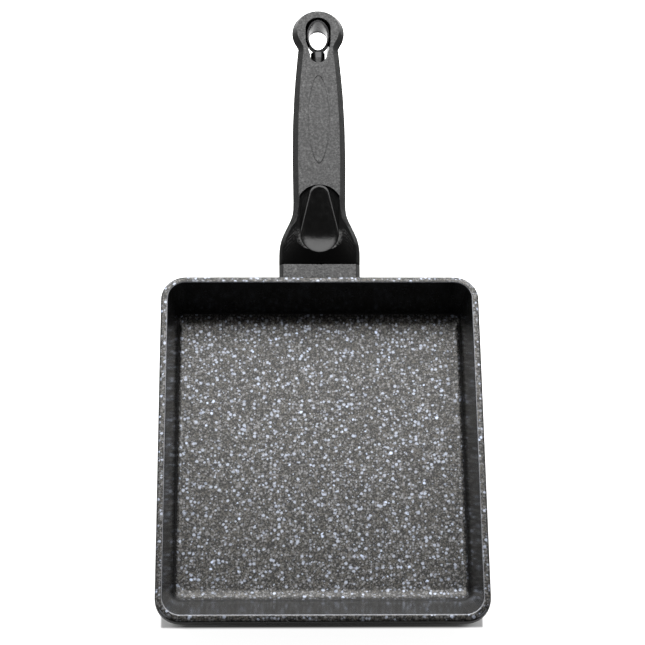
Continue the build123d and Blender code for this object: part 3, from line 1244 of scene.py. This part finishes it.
@dataclass
class Handle(OneFinish):
    """The moulded handle, from the collar's back face to the round head."""

    smooth_angle: float = 32
    front: float = 8.1 * MM
    root_half: float = 23 * MM
    waist_at: float = 41 * MM
    head_at: float = 150.7 * MM
    head_radius: float = 15.2 * MM
    throat_at: float = 140.2 * MM
    throat_end: Flat = (12.85 * MM, 142.6 * MM)
    top: float = 10.4 * MM
    chamfer: float = 3.2 * MM
    head_fall: float = 0.018
    collar_top: float = 1.2 * MM
    root_edge: float = 2.4 * MM
    root_bottom: float = -18.3 * MM
    waist_bottom: float = -12.9 * MM
    palm_at: float = 100 * MM
    palm_bottom: float = -10.9 * MM
    head_bottom: float = -5.6 * MM
    step_at: float = 13 * MM
    lip_at: float = 17.5 * MM
    lip_half: float = 12.1 * MM
    front_points: int = 9
    side_points: int = 52
    head_points: int = 30
    under_steps: int = 6
    socket: Flat = (-2 * MM, 19.25 * MM)
    bore: Point = (2.9 * MM, 10 * MM, 130 * MM)
    seat: Point = (4.25 * MM, 121.9 * MM, 138 * MM)
    ridge_low: Flat = (22 * MM, 7.35 * MM)
    ridge_slope: float = -0.02
    ridge_end: float = 48 * MM
    edge_slopes: Flat = (0.34, 0.10)
    waist_slope: float = 0.17
    palm_slope: float = 0.08
    widths: tuple[Flat, ...] = (
        (8.1 * MM, 23.0 * MM),
        (12.0 * MM, 23.05 * MM),
        (15.8 * MM, 22.9 * MM),
        (19.3 * MM, 22.3 * MM),
        (22.6 * MM, 21.3 * MM),
        (25.8 * MM, 19.85 * MM),
        (29.0 * MM, 18.25 * MM),
        (32.2 * MM, 16.65 * MM),
        (35.4 * MM, 15.5 * MM),
        (38.2 * MM, 15.05 * MM),
        (41.5 * MM, 14.95 * MM),
        (45.7 * MM, 14.97 * MM),
        (56.0 * MM, 15.1 * MM),
        (68.0 * MM, 15.25 * MM),
        (87.0 * MM, 15.08 * MM),
        (95.0 * MM, 14.87 * MM),
        (102.0 * MM, 14.55 * MM),
        (110.0 * MM, 14.2 * MM),
        (118.0 * MM, 13.65 * MM),
        (126.0 * MM, 13.02 * MM),
        (134.0 * MM, 12.32 * MM),
        (142.0 * MM, 11.5 * MM),
    )
    edge_shares: tuple[Flat, ...] = (
        (147 * MM, 1.0),
        (155 * MM, 0.70),
        (161 * MM, 0.54),
        (166 * MM, 0.50),
    )
    drafts: tuple[Flat, ...] = (
        (20 * MM, 0.0 * MM),
        (45 * MM, 1.4 * MM),
        (124 * MM, 1.5 * MM),
        (138 * MM, 2.8 * MM),
        (170 * MM, 2.8 * MM),
    )
    rounds: tuple[Flat, ...] = ((124 * MM, 5.0 * MM), (140 * MM, 3.4 * MM), (170 * MM, 3.4 * MM))
    shoulder: tuple[Flat, ...] = (
        (20.5 * MM, 13.15 * MM),
        (24.3 * MM, 13.4 * MM),
        (32 * MM, 12.75 * MM),
    )

    def half_width(self, along: float) -> float:
        """Half the handle's width at a place along it, up to the throat."""
        return along_table(self.widths, along)

    def outline(self) -> list[Flat]:
        """The right-hand half of the outline, from the front's middle to the tip.

        Returns:
            The points of the half outline.
        """
        count = self.front_points
        points = [
            (self.root_half * (k + 0.5) / (count + 0.5), self.front) for k in range(count + 1)
        ]
        for k in range(1, self.side_points + 1):
            at = self.front + (self.throat_at - self.front) * k / self.side_points
            points.append((self.half_width(at), at))
        start = degrees(atan2(self.throat_end[1] - self.head_at, self.throat_end[0]))
        step = (90 - start) / (self.head_points + 0.5)
        end = 90 - step / 2
        points += arc((0, self.head_at), self.head_radius, start, end, self.head_points)
        return points

    def edge_share(self, along: float) -> float:
        """How much of the chamfer is left at a place; it thins out round the head."""
        return along_table(self.edge_shares, along)

    def draft(self, along: float) -> float:
        """How far the sides lean in from their upper edge to the under round."""
        return along_table(self.drafts, along)

    def rounding(self, along: float) -> float:
        """Radius of the round under the sides."""
        return along_table(self.rounds, along)

    def inset(self, half: Sequence[Flat], reach: Callable[[float], float]) -> list[Flat]:
        """Move the half outline inwards; the front edge only gets shorter.

        Args:
            half: The right-hand half of the outline.
            reach: Gives how far the line moves in at a place along the handle.

        Returns:
            The moved half outline.
        """
        corner = self.front_points
        moved = []
        for k, (x, y) in enumerate(half):
            amount = reach(y)
            if k <= corner:
                moved.append((x * (self.root_half - amount) / self.root_half, y))
                continue
            before = half[k - 1]
            after = half[k + 1] if k + 1 < len(half) else (-x, y)
            along = Vector((after[0] - before[0], after[1] - before[1])).normalized()
            moved.append((x - along.y * amount, y + along.x * amount))
        return moved

    def ridge_height(self, along: float) -> float:
        """Height of the ridge beside the thumb rest, and of the top behind it.

        Args:
            along: The place along the handle.

        Returns:
            The height.
        """
        start, low = self.ridge_low
        if along < start:
            return low + self.ridge_slope * (along - start)
        if along > self.head_at:
            return self.top - self.head_fall * (along - self.head_at)
        return hermite(self.ridge_low, (self.ridge_end, self.top), (self.ridge_slope, 0), along)

    def edge_height(self, along: float) -> float:
        """Height of the sides' upper edge.

        Args:
            along: The place along the handle.

        Returns:
            The height.
        """
        at_waist = self.ridge_height(self.waist_at) - self.chamfer
        if along >= self.waist_at:
            return self.ridge_height(along) - self.chamfer
        start = (self.front, self.collar_top - self.root_edge)
        return hermite(start, (self.waist_at, at_waist), self.edge_slopes, along)

    def under_height(self, along: float) -> float:
        """Height of the underside.

        Args:
            along: The place along the handle.

        Returns:
            The height.
        """
        root = (self.front, self.root_bottom)
        waist = (self.waist_at, self.waist_bottom)
        palm = (self.palm_at, self.palm_bottom)
        head = (self.head_at, self.head_bottom)
        if along < self.waist_at:
            return hermite(root, waist, (0.0, self.waist_slope), along)
        if along < self.palm_at:
            return hermite(waist, palm, (self.waist_slope, self.palm_slope), along)
        return hermite(palm, head, (self.palm_slope, 0.0), along)

    def ridge(self, half: Sequence[Flat]) -> list[Point]:
        """The ring of the ridge and of the flat top's edge.

        Args:
            half: The right-hand half of the outline.

        Returns:
            The half ring's points.
        """
        inset = self.inset(half, lambda at: self.chamfer * self.edge_share(at))
        points = []
        waist_half = self.half_width(self.waist_at) - self.chamfer
        sides = ((self.lip_at, self.lip_half), *self.shoulder, (self.waist_at, waist_half))
        rise = self.lip_at - self.step_at
        bow = (self.lip_half**2 + rise**2) / (2 * rise)
        for k, (x, y) in enumerate(half):
            if k <= self.front_points:
                across = x * self.lip_half / self.root_half
                along = self.step_at + bow - sqrt(bow**2 - across**2)
            elif y < self.waist_at:
                share = (y - self.front) / (self.waist_at - self.front)
                along = self.lip_at + share * (self.waist_at - self.lip_at)
                across = along_table(sides, along)
            else:
                across, along = inset[k]
            points.append((across, along, self.ridge_height(along)))
        return points

    def build(self) -> Object:
        """Build the handle's mesh, with its pocket, slot, socket, bore and outline.

        Returns:
            The handle.
        """
        half = self.outline()
        rings: dict[str, list[Point]] = {}
        for k in range(self.under_steps, -1, -1):
            angle = pi / 2 * k / self.under_steps
            turn = 1 - cos(angle)
            inset = self.inset(half, lambda at: self.draft(at) + self.rounding(at) * turn)
            rings[f"under_{k}"] = both_sides(
                [
                    (x, y, self.under_height(at) + self.rounding(at) * (1 - sin(angle)))
                    for (x, y), (_, at) in zip(inset, half)
                ]
            )
        rings["edge"] = both_sides([(x, y, self.edge_height(y)) for x, y in half])
        inset = self.inset(half, lambda at: self.root_edge * self.edge_share(at))
        rings["chamfer"] = both_sides(
            [
                (x, y, self.edge_height(at) + self.root_edge)
                for (x, y), (_, at) in zip(inset, half)
            ]
        )
        rings["ridge"] = both_sides(self.ridge(half))
        piece = stack("handle", rings, (f"under_{self.under_steps}", "ridge"))
        for cutter in self.cutters():
            combine(piece, cutter, Cut.TAKE_AWAY)
        tidy_mesh(piece)
        return HANDLE_FRAME.place(piece)

    def cutters(self) -> list[Object]:
        """Build the bodies that the handle's hollows are cut with, in the handle's frame.

        Returns:
            The cutters.
        """
        slot = SlotShape().build()
        socket = HANDLE_FRAME.rod_block("socket", SOCKET, *self.socket)
        bore = HANDLE_FRAME.rod_cylinder("bore", *self.bore)
        seat = HANDLE_FRAME.rod_cylinder("seat", *self.seat)
        return [PocketShape().build(), slot, socket, bore, seat, PanelLine().build()]


@dataclass(frozen=True)
class SlotShape:
    """The slot through the head, wide at the head and narrow at the neck."""

    wide_radius: float = 7.4 * MM
    far_at: float = 152.7 * MM
    near_at: float = 145.8 * MM
    tip_radius: float = 4.85 * MM
    tip_at: float = 135.4 * MM
    below: float = 8 * MM
    above: float = 14 * MM
    top: float = 10.4 * MM
    lean: float = 0.125
    tip_points: int = 10
    side_points: int = 3
    far_points: int = 14

    def half(self, height: float) -> list[Flat]:
        """The right-hand half of the slot at a height, from the neck to the head.

        Args:
            height: The height in the handle's frame.

        Returns:
            The points.
        """
        wide = self.wide_radius + self.lean * (height - self.top)
        lean = degrees(atan2(wide - self.tip_radius, self.near_at - self.tip_at))
        step = 90 / self.far_points
        points = arc((0, self.tip_at), self.tip_radius, step / 2 - 90, -lean, self.tip_points)
        points += arc((0, self.near_at), wide, -lean, 0, self.side_points)
        points += arc((0, self.far_at), wide, 0, 90 - step / 2, self.far_points)
        return points

    def build(self) -> Object:
        """Build the cutter.

        Returns:
            The cutter.
        """
        rings = {}
        for name, height in (("slot_low", -self.below), ("slot_high", self.above)):
            rings[name] = both_sides([(x, y, height) for x, y in self.half(height)])
        return stack("slot", rings, ("slot_low", "slot_high"))


@dataclass(frozen=True)
class PocketShape:
    """The pocket round the thumb rest, with its sloping floor."""

    radius: float = 11.05 * MM
    wide_at: float = 23.2 * MM
    side_half: float = 11.4 * MM
    side_at: float = 46 * MM
    end_at: float = 52.9 * MM
    floor: float = 4.2 * MM
    tip_floor: float = 8.6 * MM
    reach: float = 25 * MM
    wide_points: int = 16
    side_points: int = 8
    end_points: int = 10

    def floor_height(self, along: float) -> float:
        """Height of the pocket's floor."""
        slope = (self.tip_floor - self.floor) / (self.end_at - self.wide_at)
        return self.floor + slope * max(0.0, along - self.wide_at)

    def half(self) -> list[Flat]:
        """The right-hand half of the pocket's edge.

        Returns:
            The points.
        """
        step = 90 / self.wide_points
        points = arc((0, self.wide_at), self.radius, step / 2 - 90, 0, self.wide_points)
        for k in range(1, self.side_points):
            share = k / self.side_points
            across = self.radius + (self.side_half - self.radius) * share
            points.append((across, self.wide_at + (self.side_at - self.wide_at) * share))
        rise = self.end_at - self.side_at
        radius = (self.side_half**2 + rise**2) / (2 * rise)
        centre = self.end_at - radius
        start = degrees(atan2(self.side_at - centre, self.side_half))
        step = (90 - start) / (self.end_points - 0.5)
        return points + arc((0, centre), radius, start, 90 - step / 2, self.end_points)

    def build(self) -> Object:
        """Build the cutter.

        Returns:
            The cutter.
        """
        half = self.half()
        rings = {
            "pocket_floor": both_sides([(x, y, self.floor_height(y)) for x, y in half]),
            "pocket_top": both_sides([(x, y, self.reach) for x, y in half]),
        }
        return stack("pocket", rings, ("pocket_floor", "pocket_top"))


@dataclass(frozen=True)
class PanelLine:
    """The fine oval line engraved in the handle's top."""

    middle: float = 94.2 * MM
    half_length: float = 27.8 * MM
    half_width: float = 6.2 * MM
    height: float = 10.45 * MM
    radius: float = 0.28 * MM
    count: int = 96
    taper: float = 1.25

    def build(self) -> Object:
        """Build the cutter, a thin closed tube.

        Returns:
            The cutter.
        """
        points = []
        for k in range(self.count):
            angle = 2 * pi * k / self.count
            reach = abs(cos(angle)) ** self.taper * (1 if cos(angle) > 0 else -1)
            across = self.half_width * sin(angle)
            points.append((across, self.middle + self.half_length * reach, self.height))
        return draw_curve("panel_line", points, self.radius)


@dataclass
class ThumbRest(OneFinish):
    """The teardrop insert with its dished lower end."""

    wide_radius: float = 10.9 * MM
    wide_at: float = 23.2 * MM
    tip_radius: float = 5.5 * MM
    tip_at: float = 47.2 * MM
    dish_at: float = 19.9 * MM
    dish_radius: float = 36 * MM
    dish_floor: float = 5.9 * MM
    dish_tip: float = 10.9 * MM
    edge: float = 0.62 * MM
    edge_drop: float = 0.40 * MM
    shares: tuple[float, ...] = (0.80, 0.60, 0.40, 0.22, 0.06)
    step: float = 90 / 22
    wide_points: int = 24
    side_points: int = 12
    tip_points: int = 14

    def half(self) -> list[Flat]:
        """The right-hand half of the outline.

        Returns:
            The points.
        """
        lean = degrees(atan2(self.wide_radius - self.tip_radius, self.tip_at - self.wide_at))
        start = self.step / 2 - 90
        points = arc((0, self.wide_at), self.wide_radius, start, lean, self.wide_points)
        tip = arc((0, self.tip_at), self.tip_radius, lean, 90 - self.step, self.tip_points)
        (x, y), (to_x, to_y) = points[-1], tip[0]
        for share in (k / self.side_points for k in range(1, self.side_points)):
            points.append((x + (to_x - x) * share, y + (to_y - y) * share))
        return points + tip

    def dish(self, across: float, along: float) -> float:
        """Height of the top: a ball's hollow below, a rising trough above.

        Args:
            across: The place across the handle.
            along: The place along it.

        Returns:
            The height.
        """
        run = self.tip_at + self.tip_radius - self.dish_at
        slope = (self.dish_tip - self.dish_floor) / run
        turn = self.dish_radius * slope
        past = along - self.dish_at
        if past > turn:
            rise = slope * past - turn * slope / 2
        else:
            rise = past**2 / (2 * self.dish_radius)
        return self.dish_floor + rise + across**2 / (2 * self.dish_radius)

    def drawn_in(self, share: float, edge: float) -> list[Point]:
        """A ring of the top, drawn in towards the insert's spine.

        Args:
            share: How much of the way out from the spine the ring lies.
            edge: How far it lies in from the outline before that.

        Returns:
            The ring's points.
        """
        points = []
        for x, y in self.half():
            spine = min(max(y, self.wide_at), self.tip_at)
            reach = sqrt(x**2 + (y - spine) ** 2)
            part = share * (reach - edge) / reach
            across, along = x * part, spine + (y - spine) * part
            points.append((across, along, self.dish(across, along)))
        return both_sides(points)

    def build(self) -> Object:
        """Build the insert's mesh.

        Returns:
            The insert.
        """
        half = self.half()
        floor = PocketShape()
        low = [(x, y, floor.floor_height(y)) for x, y in half]
        high = [(x, y, self.dish(x, y) - self.edge_drop) for x, y in half]
        rings = {"rest_low": both_sides(low), "rest_high": both_sides(high)}
        rings["rest_edge"] = self.drawn_in(1.0, self.edge)
        for share in self.shares:
            rings[f"rest_{share}"] = self.drawn_in(share, self.edge)
        piece = stack("thumb_rest", rings, ("rest_low", f"rest_{self.shares[-1]}"))
        return HANDLE_FRAME.place(piece)


@dataclass
class Collar(OneFinish):
    """The collar between the boss and the handle, with a thin lip over the boss."""

    half_width: float = 23 * MM
    thickness: float = 7.8 * MM
    top: float = 1.2 * MM
    bottom: float = -18.3 * MM
    top_edge: float = 2.4 * MM
    under_round: float = 5 * MM
    fine_edge: float = 0.35 * MM
    back_edge: float = 0.65 * MM
    lead: float = 4 * MM
    boss_face: float = 105 * MM
    boss_top: float = 29.7 * MM
    lip_reach: float = 0.85 * MM
    socket: Flat = (-9 * MM, 19 * MM)
    cutter: float = 40 * MM
    back_crease: float = 40
    fine_crease: float = 30
    fine_from: float = -3.6 * MM
    under_share: float = 0.9
    under_steps: int = 6
    back_steps: int = 4
    fine_steps: int = 2

    def build(self) -> Object:
        """Build the collar's mesh.

        Returns:
            The collar.
        """
        length = self.thickness + self.lead
        size = (2 * self.half_width, length, self.top - self.bottom)
        centre = (0, self.thickness - length / 2, (self.top + self.bottom) / 2)
        piece = add_block("collar", size, centre)
        open_mesh(piece)
        half = length / 2
        back = self.thickness - HAIR
        upper, lower = self.bottom / 2, self.bottom * self.under_share
        pick(piece, Kind.EDGE, lambda e: is_long(e, half) and e.verts[0].co.z > upper)
        soften(self.top_edge, 1)
        pick(piece, Kind.EDGE, lambda e: is_long(e, half) and e.verts[0].co.z < lower)
        soften(self.under_round, self.under_steps)
        pick(piece, Kind.EDGE, lambda e: is_crease(e, self.back_crease, lambda m: m.y > back))
        soften(self.back_edge, self.back_steps)
        sharp, low = self.fine_crease, self.fine_from
        pick(piece, Kind.EDGE, lambda e: is_crease(e, sharp, lambda m: m.z > low))
        soften(self.fine_edge, self.fine_steps)
        close_mesh()
        combine(piece, HANDLE_FRAME.rod_block("socket", SOCKET, *self.socket), Cut.TAKE_AWAY)
        HANDLE_FRAME.place(piece)
        open_mesh(piece)
        bpy.ops.mesh.select_all(action="SELECT")
        bpy.ops.mesh.bisect(
            plane_co=(0, self.boss_face - self.lip_reach, 0),
            plane_no=(0, -1, 0),
            use_fill=True,
            clear_outer=True,
        )
        close_mesh()
        depth = self.cutter
        centre = (0, self.boss_face - depth / 2, self.boss_top - depth / 2)
        under = add_block("under", (4 * self.half_width, depth, depth), centre)
        combine(piece, under, Cut.TAKE_AWAY)
        return tidy_mesh(piece)


@dataclass
class HangingEye(OneFinish):
    """The chromed loop in the head's slot, with its flattened neck."""

    smooth_angle: float = 40
    half_width: float = 5.45 * MM
    half_length: float = 8.45 * MM
    wall: float = 1.15 * MM
    middle: float = 149.75 * MM
    height: float = 12.2 * MM
    near_top: float = 5.2 * MM
    near_bottom: float = 1.2 * MM
    level: float = 2.4 * MM
    neck_radius: float = 4.2 * MM
    neck_flat: float = 0.84
    neck_roll: float = -12.0
    neck_start: float = 123.5 * MM
    neck_end: float = 142.0 * MM
    edge: float = 0.2 * MM
    edge_from: float = 138 * MM
    edge_steps: int = 3
    crease: float = 50
    facing: float = 0.9
    sides: int = 96

    def oval(self, name: str, grow: float, height: float, tapered: bool) -> Object:
        """Add an upright oval block, taller at the far end if it is tapered.

        Args:
            name: The block's name.
            grow: How far it stands out from the eye's hole.
            height: Its height.
            tapered: Whether its near end is lower.

        Returns:
            The block.
        """
        bpy.ops.object.select_all(action="DESELECT")
        bpy.ops.mesh.primitive_cylinder_add(
            vertices=self.sides, radius=1, depth=height, location=(0, self.middle, self.level)
        )
        piece = bpy.context.object
        piece.name = name
        piece.scale = (self.half_width + grow, self.half_length + grow, 1)
        bpy.ops.object.transform_apply(location=True, rotation=True, scale=True)
        if not tapered:
            return piece
        length = 2 * (self.half_length + grow)
        open_mesh(piece)
        for sign, near in ((1, self.near_top), (-1, self.near_bottom)):
            far = self.level + sign * height / 2
            pick(piece, Kind.FACE, lambda face: face.normal.z * sign > self.facing)
            bpy.ops.transform.rotate(
                value=-atan2(far - near, length),
                orient_axis="X",
                center_override=(0, self.middle + length / 2, far),
            )
        close_mesh()
        return piece

    def build(self) -> Object:
        """Build the eye's mesh.

        Returns:
            The eye.
        """
        piece = self.oval("hanging_eye", self.wall, self.height, tapered=True)
        neck = HANDLE_FRAME.rod_cylinder("neck", self.neck_radius, self.neck_start, self.neck_end)
        middle = HANDLE_FRAME.on_rod((self.neck_start + self.neck_end) / 2)
        flatten = Matrix.Diagonal((1, 1, self.neck_flat, 1)) @ Matrix.Translation(-middle)
        roll = Matrix.Rotation(radians(self.neck_roll), 4, "Y")
        settle(neck, Matrix.Translation(middle) @ roll @ flatten)
        combine(piece, neck, Cut.ADD)
        combine(piece, self.oval("hole", 0, 3 * self.height, tapered=False), Cut.TAKE_AWAY)
        tidy_mesh(piece)
        open_mesh(piece)
        near = self.edge_from
        pick(piece, Kind.EDGE, lambda e: is_crease(e, self.crease, lambda m: m.y > near))
        soften(self.edge, self.edge_steps)
        close_mesh()
        return HANDLE_FRAME.place(tidy_mesh(piece))


# Studio


@dataclass
class Studio:
    """Pale floor, soft light behind and above, and the photograph's camera."""

    image_size: float = 645.0
    focal_pixels: float = 2568.03
    sensor: float = 36.0
    distance: float = 1.44586
    aim: Point = (1.2727 * MM, 74.3881 * MM, 33 * MM)
    elevation: float = 63.0
    yaw: float = -0.0468
    roll: float = 0.0416
    clip: Flat = (0.05, 50)
    floor_size: float = 12
    floor_colour: Colour = (0.8, 0.8, 0.8, 1)
    floor_glow: float = 0.95
    floor_mirrored: float = 0.3
    contact: tuple[Flat, Flat] = ((-0.087, -0.0946), (0.087, 0.090))
    contact_fade: float = 1.7 * MM
    mirrored_fade: float = 60 * MM
    key_near: Flat = (0.31, 0.78)
    key_far: Flat = (1.60, 0.25)
    key_width: float = 1.5
    key_radiance: float = 5.1
    card_place: Point = (1.3, 0.5, 0.3)
    card_size: Flat = (1.6, 0.6)
    card_radiance: float = 0.68
    room_fill: float = 0.06

    def camera(self) -> Object:
        """Set the camera at the photograph's viewing angle.

        Returns:
            The camera.
        """
        lift = radians(self.elevation)
        back = Vector((sin(self.yaw) * cos(lift), -cos(self.yaw) * cos(lift), sin(lift)))
        right = (-back).cross(Vector((0, 0, 1))).normalized()
        up = right.cross(-back)
        right_rolled = right * cos(self.roll) + up * sin(self.roll)
        up_rolled = -right * sin(self.roll) + up * cos(self.roll)
        turn = Matrix((right_rolled, up_rolled, back)).transposed().to_4x4()
        data = bpy.data.cameras.new("camera")
        data.sensor_width = self.sensor
        data.lens = self.focal_pixels * self.sensor / self.image_size
        data.clip_start, data.clip_end = self.clip
        camera = bpy.data.objects.new("camera", data)
        bpy.context.scene.collection.objects.link(camera)
        camera.matrix_world = Matrix.Translation(Vector(self.aim) + back * self.distance) @ turn
        bpy.context.scene.camera = camera
        return camera

    def softbox(self, name: str, place: Point, aim: Point, size: Flat, radiance: float) -> Object:
        """Add a rectangular soft light of a given brightness.

        Args:
            name: The light's name.
            place: Its middle.
            aim: The point it faces.
            size: Its width and height.
            radiance: How bright its face is, where 1 is white.

        Returns:
            The light.
        """
        data = bpy.data.lights.new(name, "AREA")
        data.shape = "RECTANGLE"
        data.size, data.size_y = size
        data.energy = radiance * pi * size[0] * size[1]
        light = bpy.data.objects.new(name, data)
        bpy.context.scene.collection.objects.link(light)
        light.location = place
        light.rotation_euler = (Vector(place) - Vector(aim)).to_track_quat("Z", "Y").to_euler()
        light.visible_camera = False
        return light

    def sloping_light(
        self, name: str, near: Flat, far: Flat, width: float, radiance: float
    ) -> Object:
        """Hang a soft light between two heights behind the pan.

        Args:
            name: The light's name.
            near: Where its near edge is along Y and up.
            far: Where its far edge is.
            width: Its width.
            radiance: How bright its face is.

        Returns:
            The light.
        """
        middle = (0, (near[0] + far[0]) / 2, (near[1] + far[1]) / 2)
        run, drop = far[0] - near[0], near[1] - far[1]
        length = sqrt(run**2 + drop**2)
        below = (0, middle[1] - drop / length, middle[2] - run / length)
        return self.softbox(name, middle, below, (width, length), radiance)

    def floor(self) -> Object:
        """Lay the pale floor, white to the camera but for the pan's contact shadow.

        Returns:
            The floor.
        """
        bpy.ops.object.select_all(action="DESELECT")
        bpy.ops.mesh.primitive_plane_add(size=self.floor_size, location=(0, 0, 0))
        floor = bpy.context.object
        floor.name = "studio_floor"
        sheet = Sheet("studio_floor")
        path = sheet.add("LightPath").outputs
        through = sheet.sums("MAXIMUM", path["Is Glossy Ray"], path["Is Transmission Ray"])
        straight = sheet.times(path["Is Camera Ray"], self.floor_glow)
        mirrored = sheet.times(through, self.floor_mirrored)
        # Painted shadow: the camera's glow is taken off in a box round the pan's footprint, and
        # the floor's glow seen in reflections fades out near the pan.
        half = tuple((high - low) / 2 for low, high in zip(*self.contact))
        middle = tuple((high + low) / 2 for low, high in zip(*self.contact))
        shifted = sheet.vector("SUBTRACT", sheet.place(), (*middle, 0))
        past = sheet.vector("SUBTRACT", sheet.vector("ABSOLUTE", shifted), (*half, 0))
        out = sheet.add("VectorMath", {0: sheet.vector("MAXIMUM", past)}, operation="LENGTH")
        distance = out.outputs["Value"]
        clear = sheet.spread(distance, 0.0, self.contact_fade, 0.0, 1.0)
        clear_of_reflected_shadow = sheet.spread(distance, 0.0, self.mirrored_fade, 0.0, 1.0)
        seen = sheet.times(straight, clear)
        glow = sheet.sums("MAXIMUM", seen, sheet.times(mirrored, clear_of_reflected_shadow))
        sheet.set(
            Base_Color=self.floor_colour,
            Roughness=1.0,
            Specular_IOR_Level=0.0,
            Emission_Color=(1, 1, 1, 1),
            Emission_Strength=glow,
        )
        floor.data.materials.append(sheet.material)
        return floor

    def world(self) -> None:
        """Fill the room: white to the camera, nearly dark to everything else."""
        world = bpy.data.worlds.new("studio")
        bpy.context.scene.world = world
        world.use_nodes = True
        tree = world.node_tree
        path = tree.nodes.new("ShaderNodeLightPath")
        strength = tree.nodes.new("ShaderNodeMapRange")
        strength.inputs["To Min"].default_value = self.room_fill
        strength.inputs["To Max"].default_value = 1.0
        tree.links.new(path.outputs["Is Camera Ray"], strength.inputs["Value"])
        background = tree.nodes["Background"]
        background.inputs["Color"].default_value = (1, 1, 1, 1)
        tree.links.new(strength.outputs["Result"], background.inputs["Strength"])

    def set_up(self) -> None:
        """Set the camera, the lights, the floor and the world."""
        self.camera()
        self.floor()
        self.world()
        self.sloping_light("key", self.key_near, self.key_far, self.key_width, self.key_radiance)
        out, along, up = self.card_place
        for side in (-1, 1):
            place = (side * out, along, up)
            name = f"card_{side + 1}"
            self.softbox(name, place, (0, along, 0), self.card_size, self.card_radiance)
        bpy.context.scene.view_settings.view_transform = "Standard"


def finish_cad_nodes() -> None:
    """Give the CAD nodes that stay their finishes."""
    finishes = {
        "tie_rod": Metal("zinc_steel", (0.62, 0.62, 0.63, 1), 0.25, 0.42),
        "spring_washer": Metal("washer_steel", (0.55, 0.55, 0.56, 1), 0.3, 0.45),
        "threaded_insert": Metal("insert_brass", (0.72, 0.56, 0.27, 1), 0.3, 0.45),
    }
    for name, finish in finishes.items():
        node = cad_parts[name]
        node.data.materials.clear()
        node.data.materials.append(finish.make())


def seat(piece: Object, node: str, slot: str) -> None:
    """Make a piece stand for a CAD node and ride with the part.

    Args:
        piece: The piece.
        node: The CAD node's name.
        slot: The material slot's name; not used.
    """
    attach(piece, "root")
    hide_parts(node)
    LOG.info("%s stands for %s, %d faces", piece.name, node, len(piece.data.polygons))


def main() -> None:
    """Build every piece, dress it and set up the studio."""
    logging.basicConfig(level=logging.INFO, format="%(message)s")
    vessel = Vessel()
    pan = vessel.build()
    vessel.dress(pan, (SpeckledCoat().make(), OuterEnamel().make(), GroundPad().make()))
    seat(pan, "pan_body", "coated_aluminium")

    guard_resin = Resin("collar_resin", gloss=0.46)
    rest_resin = Resin(
        "rest_resin", (0.003, 0.003, 0.003, 1), roughness=0.13, gloss=0.36, grain=0.5, scuffs=0.0
    )
    dark_chrome = Metal("eye_chrome", (0.045, 0.045, 0.046, 1), 0.22, 0.30)
    for maker, finish, node, slot in (
        (Collar(), guard_resin, "flame_guard", "guard_resin"),
        (Handle(), Resin(), "handle_body", "handle_resin"),
        (ThumbRest(), rest_resin, "thumb_rest", "rest_resin"),
        (HangingEye(), dark_chrome, "hang_eye", "eye_chrome"),
    ):
        piece = maker.build()
        maker.dress(piece, finish.make())
        seat(piece, node, slot)

    finish_cad_nodes()
    Studio().set_up()


if __name__ == "__main__":
    main()
